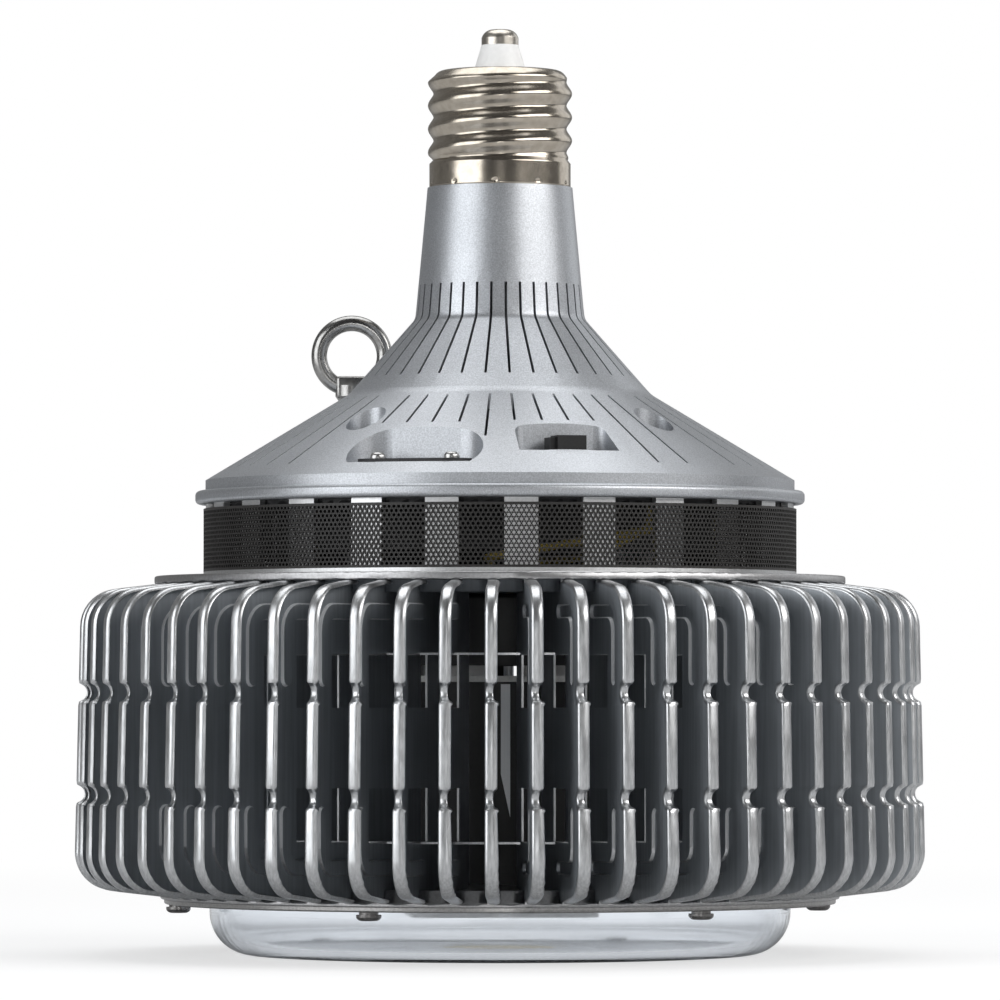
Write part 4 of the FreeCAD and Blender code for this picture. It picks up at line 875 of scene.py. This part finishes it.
# %% Sizes of a fin
fin_low, fin_high = (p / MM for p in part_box("cooling_fins"))
FIN_COUNT = 60
FIN_WALL = 0.55
FIN_INNER = 62.0
FIN_FOOT_RADIUS = fin_high.x
FIN_TOP_RADIUS = 113.2
FIN_CORNER = 10.2
FIN_SLOPE = math.radians(6.7)
FIN_SHARP = 50
FIN_MERGE = 0.004
FOOT_STEPS, NOTCH_STEPS, HEAD_STEPS = 16, 14, 9
PLATE_RADIUS = 93.2
FIN_LIP = 3.3
FIN_BEND = 0.9
LIP_FOOT = 92.7
LIP_HEAD = 90.2
LIP_STEP = 0.01
NOTCH = 2.3
NOTCHES = (-206.4, -179.2)
NOTCH_EASE = 0.45
BITE = 1.2
BITE_HALF = 2.0
SPUR = 0.35
SPUR_END = -1.6
CURL = 1.0
CURL_LOSS = 0.8
TEAR_START, TEAR_SPAN = 4.0, 4.0
TEAR_WIDEN = 0.3
TEAR_WAVES = ((0.12, 1.9, 1.3), (0.08, 3.1, -2.7))
WINDOW_IN, WINDOW_OUT = 80.0, 100.0
WINDOWS = ((-217.8, -203.9), (-183.2, -169.5))
TAB_WIDTH = 6.0
TAB_REACH = 8.2
BEADS = ((1, 106.9, -156.5, -175.6), (-1, 107.5, -226.2, -210.6))
BEAD_INNER = 86.0
BEAD_HALF = 1.8
BEAD_ROUND = 7.0
BEAD_PRESS = 0.8
BEAD_SLOPE = 0.35
BEAD_SHADE = -219.5
BEND_STEPS, END_STEPS = 7, 6

corner_reach = FIN_CORNER * math.tan(math.radians(45) - FIN_SLOPE / 2)
corner_low = fin_low.z + (FIN_FOOT_RADIUS - LIP_FOOT) * math.tan(FIN_SLOPE) + corner_reach
corner_high = fin_high.z - (FIN_TOP_RADIUS - PLATE_RADIUS) * math.tan(FIN_SLOPE) - corner_reach
corner_sweep = 90 - math.degrees(FIN_SLOPE)
fold_round = FIN_CORNER - FIN_BEND
print("fin corners at", round(corner_low, 1), "and", round(corner_high, 1))


# %% Fin outline
def edge_radius(level):
    """The fin's outer edge leans in slightly toward the top."""
    share = (level - corner_low) / (corner_high - corner_low)
    return FIN_FOOT_RADIUS + (FIN_TOP_RADIUS - FIN_FOOT_RADIUS) * share


bm = bmesh.new()
start = bm.verts.new((FIN_INNER, 0, fin_low.z))
tip = run_to(bm, start, LIP_FOOT, fin_low.z)
lip_start = tip = run_to(bm, tip, LIP_FOOT + LIP_STEP, fin_low.z + FIN_BEND)
middle = (FIN_FOOT_RADIUS - FIN_CORNER, corner_low)
tip = run_to(
    bm, tip,
    middle[0] + fold_round * math.sin(FIN_SLOPE),
    middle[1] - fold_round * math.cos(FIN_SLOPE),
)
tip = swing(bm, tip, middle, -corner_sweep, FOOT_STEPS)
for level in NOTCHES:
    across = NOTCH + FIN_BEND
    half = math.sqrt(across ** 2 - FIN_BEND ** 2)
    ends = (level - half, level + half)
    tip = run_to(bm, tip, edge_radius(ends[0] - NOTCH_EASE) - FIN_BEND, ends[0] - NOTCH_EASE)
    tip = run_to(bm, tip, edge_radius(ends[0]) - FIN_BEND, ends[0])
    arc = 360 - 2 * math.degrees(math.atan2(half, -FIN_BEND))
    tip = swing(bm, tip, (edge_radius(level), level), arc, NOTCH_STEPS)
    tip = run_to(bm, tip, edge_radius(ends[1] + NOTCH_EASE) - FIN_BEND, ends[1] + NOTCH_EASE)
tip = run_to(bm, tip, FIN_TOP_RADIUS - FIN_BEND, corner_high)
tip = swing(bm, tip, (FIN_TOP_RADIUS - FIN_CORNER, corner_high), -corner_sweep, HEAD_STEPS)
tip = run_to(bm, tip, PLATE_RADIUS, fin_high.z - FIN_BEND)
lip_end = tip = run_to(bm, tip, LIP_HEAD, fin_high.z - FIN_BEND)
tip = run_to(bm, tip, LIP_HEAD - LIP_STEP, fin_high.z)
tip = run_to(bm, tip, FIN_INNER, fin_high.z)
bm.edges.new((tip, start))
print("fin outline:", len(bm.verts), "vertices")

# %% Windows and beads
tabs = []
for (low, high), tab_on_top in zip(WINDOWS, (False, True)):
    tip = begin = bm.verts.new((WINDOW_IN, 0, low))
    tip = near = run_to(bm, tip, WINDOW_IN + TAB_WIDTH, low)
    tip = run_to(bm, tip, WINDOW_OUT, low)
    tip = run_to(bm, tip, WINDOW_OUT, high)
    tip = far = run_to(bm, tip, WINDOW_IN + TAB_WIDTH, high)
    tip = run_to(bm, tip, WINDOW_IN, high)
    bm.edges.new((tip, begin))
    tabs.append((far, tip) if tab_on_top else (begin, near))

beads = []
for mirror, outer, top, end in BEADS:
    wide = 2 * BEAD_HALF
    middle = (outer - BEAD_ROUND, top - mirror * BEAD_ROUND)
    tip = bm.verts.new((outer, 0, end))
    tip = mark = run_to(bm, tip, outer, middle[1])
    tip = swing(bm, tip, middle, -90 * mirror, BEND_STEPS)
    tip = run_to(bm, tip, BEAD_INNER, top)
    tip = swing(bm, tip, (BEAD_INNER, top - mirror * BEAD_HALF), -180 * mirror, END_STEPS)
    tip = run_to(bm, tip, middle[0], top - mirror * wide)
    tip = swing(bm, tip, middle, 90 * mirror, BEND_STEPS)
    tip = run_to(bm, tip, outer - wide, end)
    swing(bm, tip, (outer - BEAD_HALF, end), -180 * mirror, END_STEPS)
    beads.append(mark)
bmesh.ops.remove_doubles(bm, verts=bm.verts[:], dist=FIN_MERGE)
print("with windows and beads:", len(bm.verts), "vertices")

# %% Fill and press
# The lip keeps the fin metal; the faces take a darker copy of it as painted shade, and the upper bead
# flanks a pale one as painted highlight.
LIP_METAL, FACE_PAINTED_SHADE, FLANK_PAINTED_HIGHLIGHT = 0, 1, 2

bmesh.ops.triangle_fill(bm, use_beauty=True, edges=bm.edges[:], normal=(0, -1, 0))


def loop_from(vert):
    """The closed loop of open edges that a vertex lies on."""
    found = []
    at, came = vert, None
    while True:
        way = [e for e in at.link_edges if len(e.link_faces) == 1 and e is not came]
        came = way[0]
        found.append(came)
        at = came.other_vert(at)
        if at is vert:
            return found


flanks = []
for mark in beads:
    made = bmesh.ops.contextual_create(bm, geom=loop_from(mark))
    bead = made["faces"]
    bmesh.ops.recalc_face_normals(bm, faces=bm.faces[:])
    sign = 1 if bead[0].normal.y > 0 else -1
    made = bmesh.ops.inset_region(
        bm, faces=bead, thickness=BEAD_SLOPE, depth=BEAD_PRESS * sign, use_even_offset=True,
    )
    flanks += made["faces"]

for pair in tabs:
    edge = bm.edges.get(pair)
    made = bmesh.ops.extrude_edge_only(bm, edges=[edge])
    grown = [v for v in made["geom"] if isinstance(v, bmesh.types.BMVert)]
    bmesh.ops.translate(bm, verts=grown, vec=(0, TAB_REACH, 0))

# Every face first takes the darker fin material, painted shade between the fins.
for face in bm.faces:
    face.material_index = FACE_PAINTED_SHADE
# Bead flanks above BEAD_SHADE take the pale material as a painted highlight; the lower ones keep the
# painted shade of the faces.
for face in flanks:
    if face.calc_center_median().z > BEAD_SHADE:
        face.material_index = FLANK_PAINTED_HIGHLIGHT
print("flat fin:", len(bm.faces), "faces,", len(flanks), "of them bead flanks")

# %% Edge to fold
chain = [lip_start]
came = None
while chain[-1] is not lip_end:
    here = chain[-1]
    ways = [e for e in here.link_edges if len(e.link_faces) == 1 and e is not came]
    if came is None:
        ways = [e for e in ways if e.other_vert(here).co.x > here.co.x + 1]
    came = ways[0]
    chain.append(came.other_vert(here))

outward = {}
for index, vert in enumerate(chain):
    before = chain[max(index - 1, 0)].co
    after = chain[min(index + 1, len(chain) - 1)].co
    along = (after - before).normalized()
    outward[index] = Vector((along.z, 0, -along.x))
print("edge to fold:", len(chain), "vertices")


# %% Fold the lip
BEND_ANGLES = (30, 60, 90)
FLAT_SHARES = (0.6, 1.0)
CURL_ANGLES = (45, 85)


def bite(level):
    """How much narrower the lip is at a height: a notch bites into it and leaves a spur below."""
    loss = 0.0
    for middle in NOTCHES:
        share = (level - middle) / BITE_HALF
        if abs(share) < 1:
            loss = BITE * math.sqrt(1 - share ** 2)
        elif SPUR_END < share < 0:
            loss = -SPUR
    return loss


def ragged(place):
    """The lip's free edge widens and tears a little as it is drawn round the lower corner."""
    low_corner = max(0.0, min(1.0, (corner_low + TEAR_START - place.z) / TEAR_SPAN))
    wave = sum(size * math.sin(place.z * up + place.x * out) for size, up, out in TEAR_WAVES)
    return low_corner * (TEAR_WIDEN + wave)


base = [v.co.copy() for v in chain]
row = chain
folds = [("bend", math.radians(a)) for a in BEND_ANGLES]
folds += [("flat", share) for share in FLAT_SHARES]
folds += [("curl", math.radians(a)) for a in CURL_ANGLES]
for stage, amount in folds:
    edges = [bm.edges.get((a, b)) for a, b in zip(row, row[1:])]
    made = bmesh.ops.extrude_edge_only(bm, edges=edges)
    fresh = {v for v in made["geom"] if isinstance(v, bmesh.types.BMVert)}
    for face in (f for f in made["geom"] if isinstance(f, bmesh.types.BMFace)):
        face.material_index = LIP_METAL
    new_row = []
    for index, old in enumerate(row):
        new = [e.other_vert(old) for e in old.link_edges if e.other_vert(old) in fresh][0]
        place = base[index] + outward[index] * FIN_BEND
        loss = bite(place.z)
        curl = CURL * (1 - CURL_LOSS * max(0.0, loss) / BITE)
        wide = FIN_LIP - loss + ragged(place)
        if stage == "bend":
            place -= outward[index] * FIN_BEND * (1 - math.sin(amount))
            place.y = FIN_BEND * (1 - math.cos(amount))
        elif stage == "flat":
            place.y = FIN_BEND + (wide - curl - FIN_BEND) * amount
        else:
            place -= outward[index] * curl * (1 - math.cos(amount))
            place.y = wide - curl * (1 - math.sin(amount))
        new.co = place
        new_row.append(new)
    row = new_row
print("lip folded in", len(folds), "steps")

# %% Thicken the sheet
EDGE_TILT = 0.55

bmesh.ops.recalc_face_normals(bm, faces=bm.faces[:])
wall_face = max(bm.faces, key=lambda f: f.calc_area())
if wall_face.normal.y > 0:
    bmesh.ops.reverse_faces(bm, faces=bm.faces[:])
bmesh.ops.solidify(bm, geom=bm.faces[:], thickness=FIN_WALL)
bm.normal_update()
for face in bm.faces:
    if face.material_index == FACE_PAINTED_SHADE and abs(face.normal.y) < EDGE_TILT:
        face.material_index = LIP_METAL
print("one fin:", len(bm.faces), "faces")

# %% Fin stack
to_front = Matrix.Rotation(math.radians(-90), 3, "Z")
bmesh.ops.rotate(bm, verts=bm.verts[:], cent=(0, 0, 0), matrix=to_front)
bmesh.ops.spin(
    bm, geom=bm.verts[:] + bm.edges[:] + bm.faces[:], cent=(0, 0, 0), axis=Z_AXIS,
    angle=math.tau * (FIN_COUNT - 1) / FIN_COUNT, steps=FIN_COUNT - 1, use_duplicate=True,
)
keep(bm, "fin_stack", "fin_aluminium", ["cooling_fins"], FIN_SHARP, (fin_face_painted_shade, bead_flank_painted_highlight))
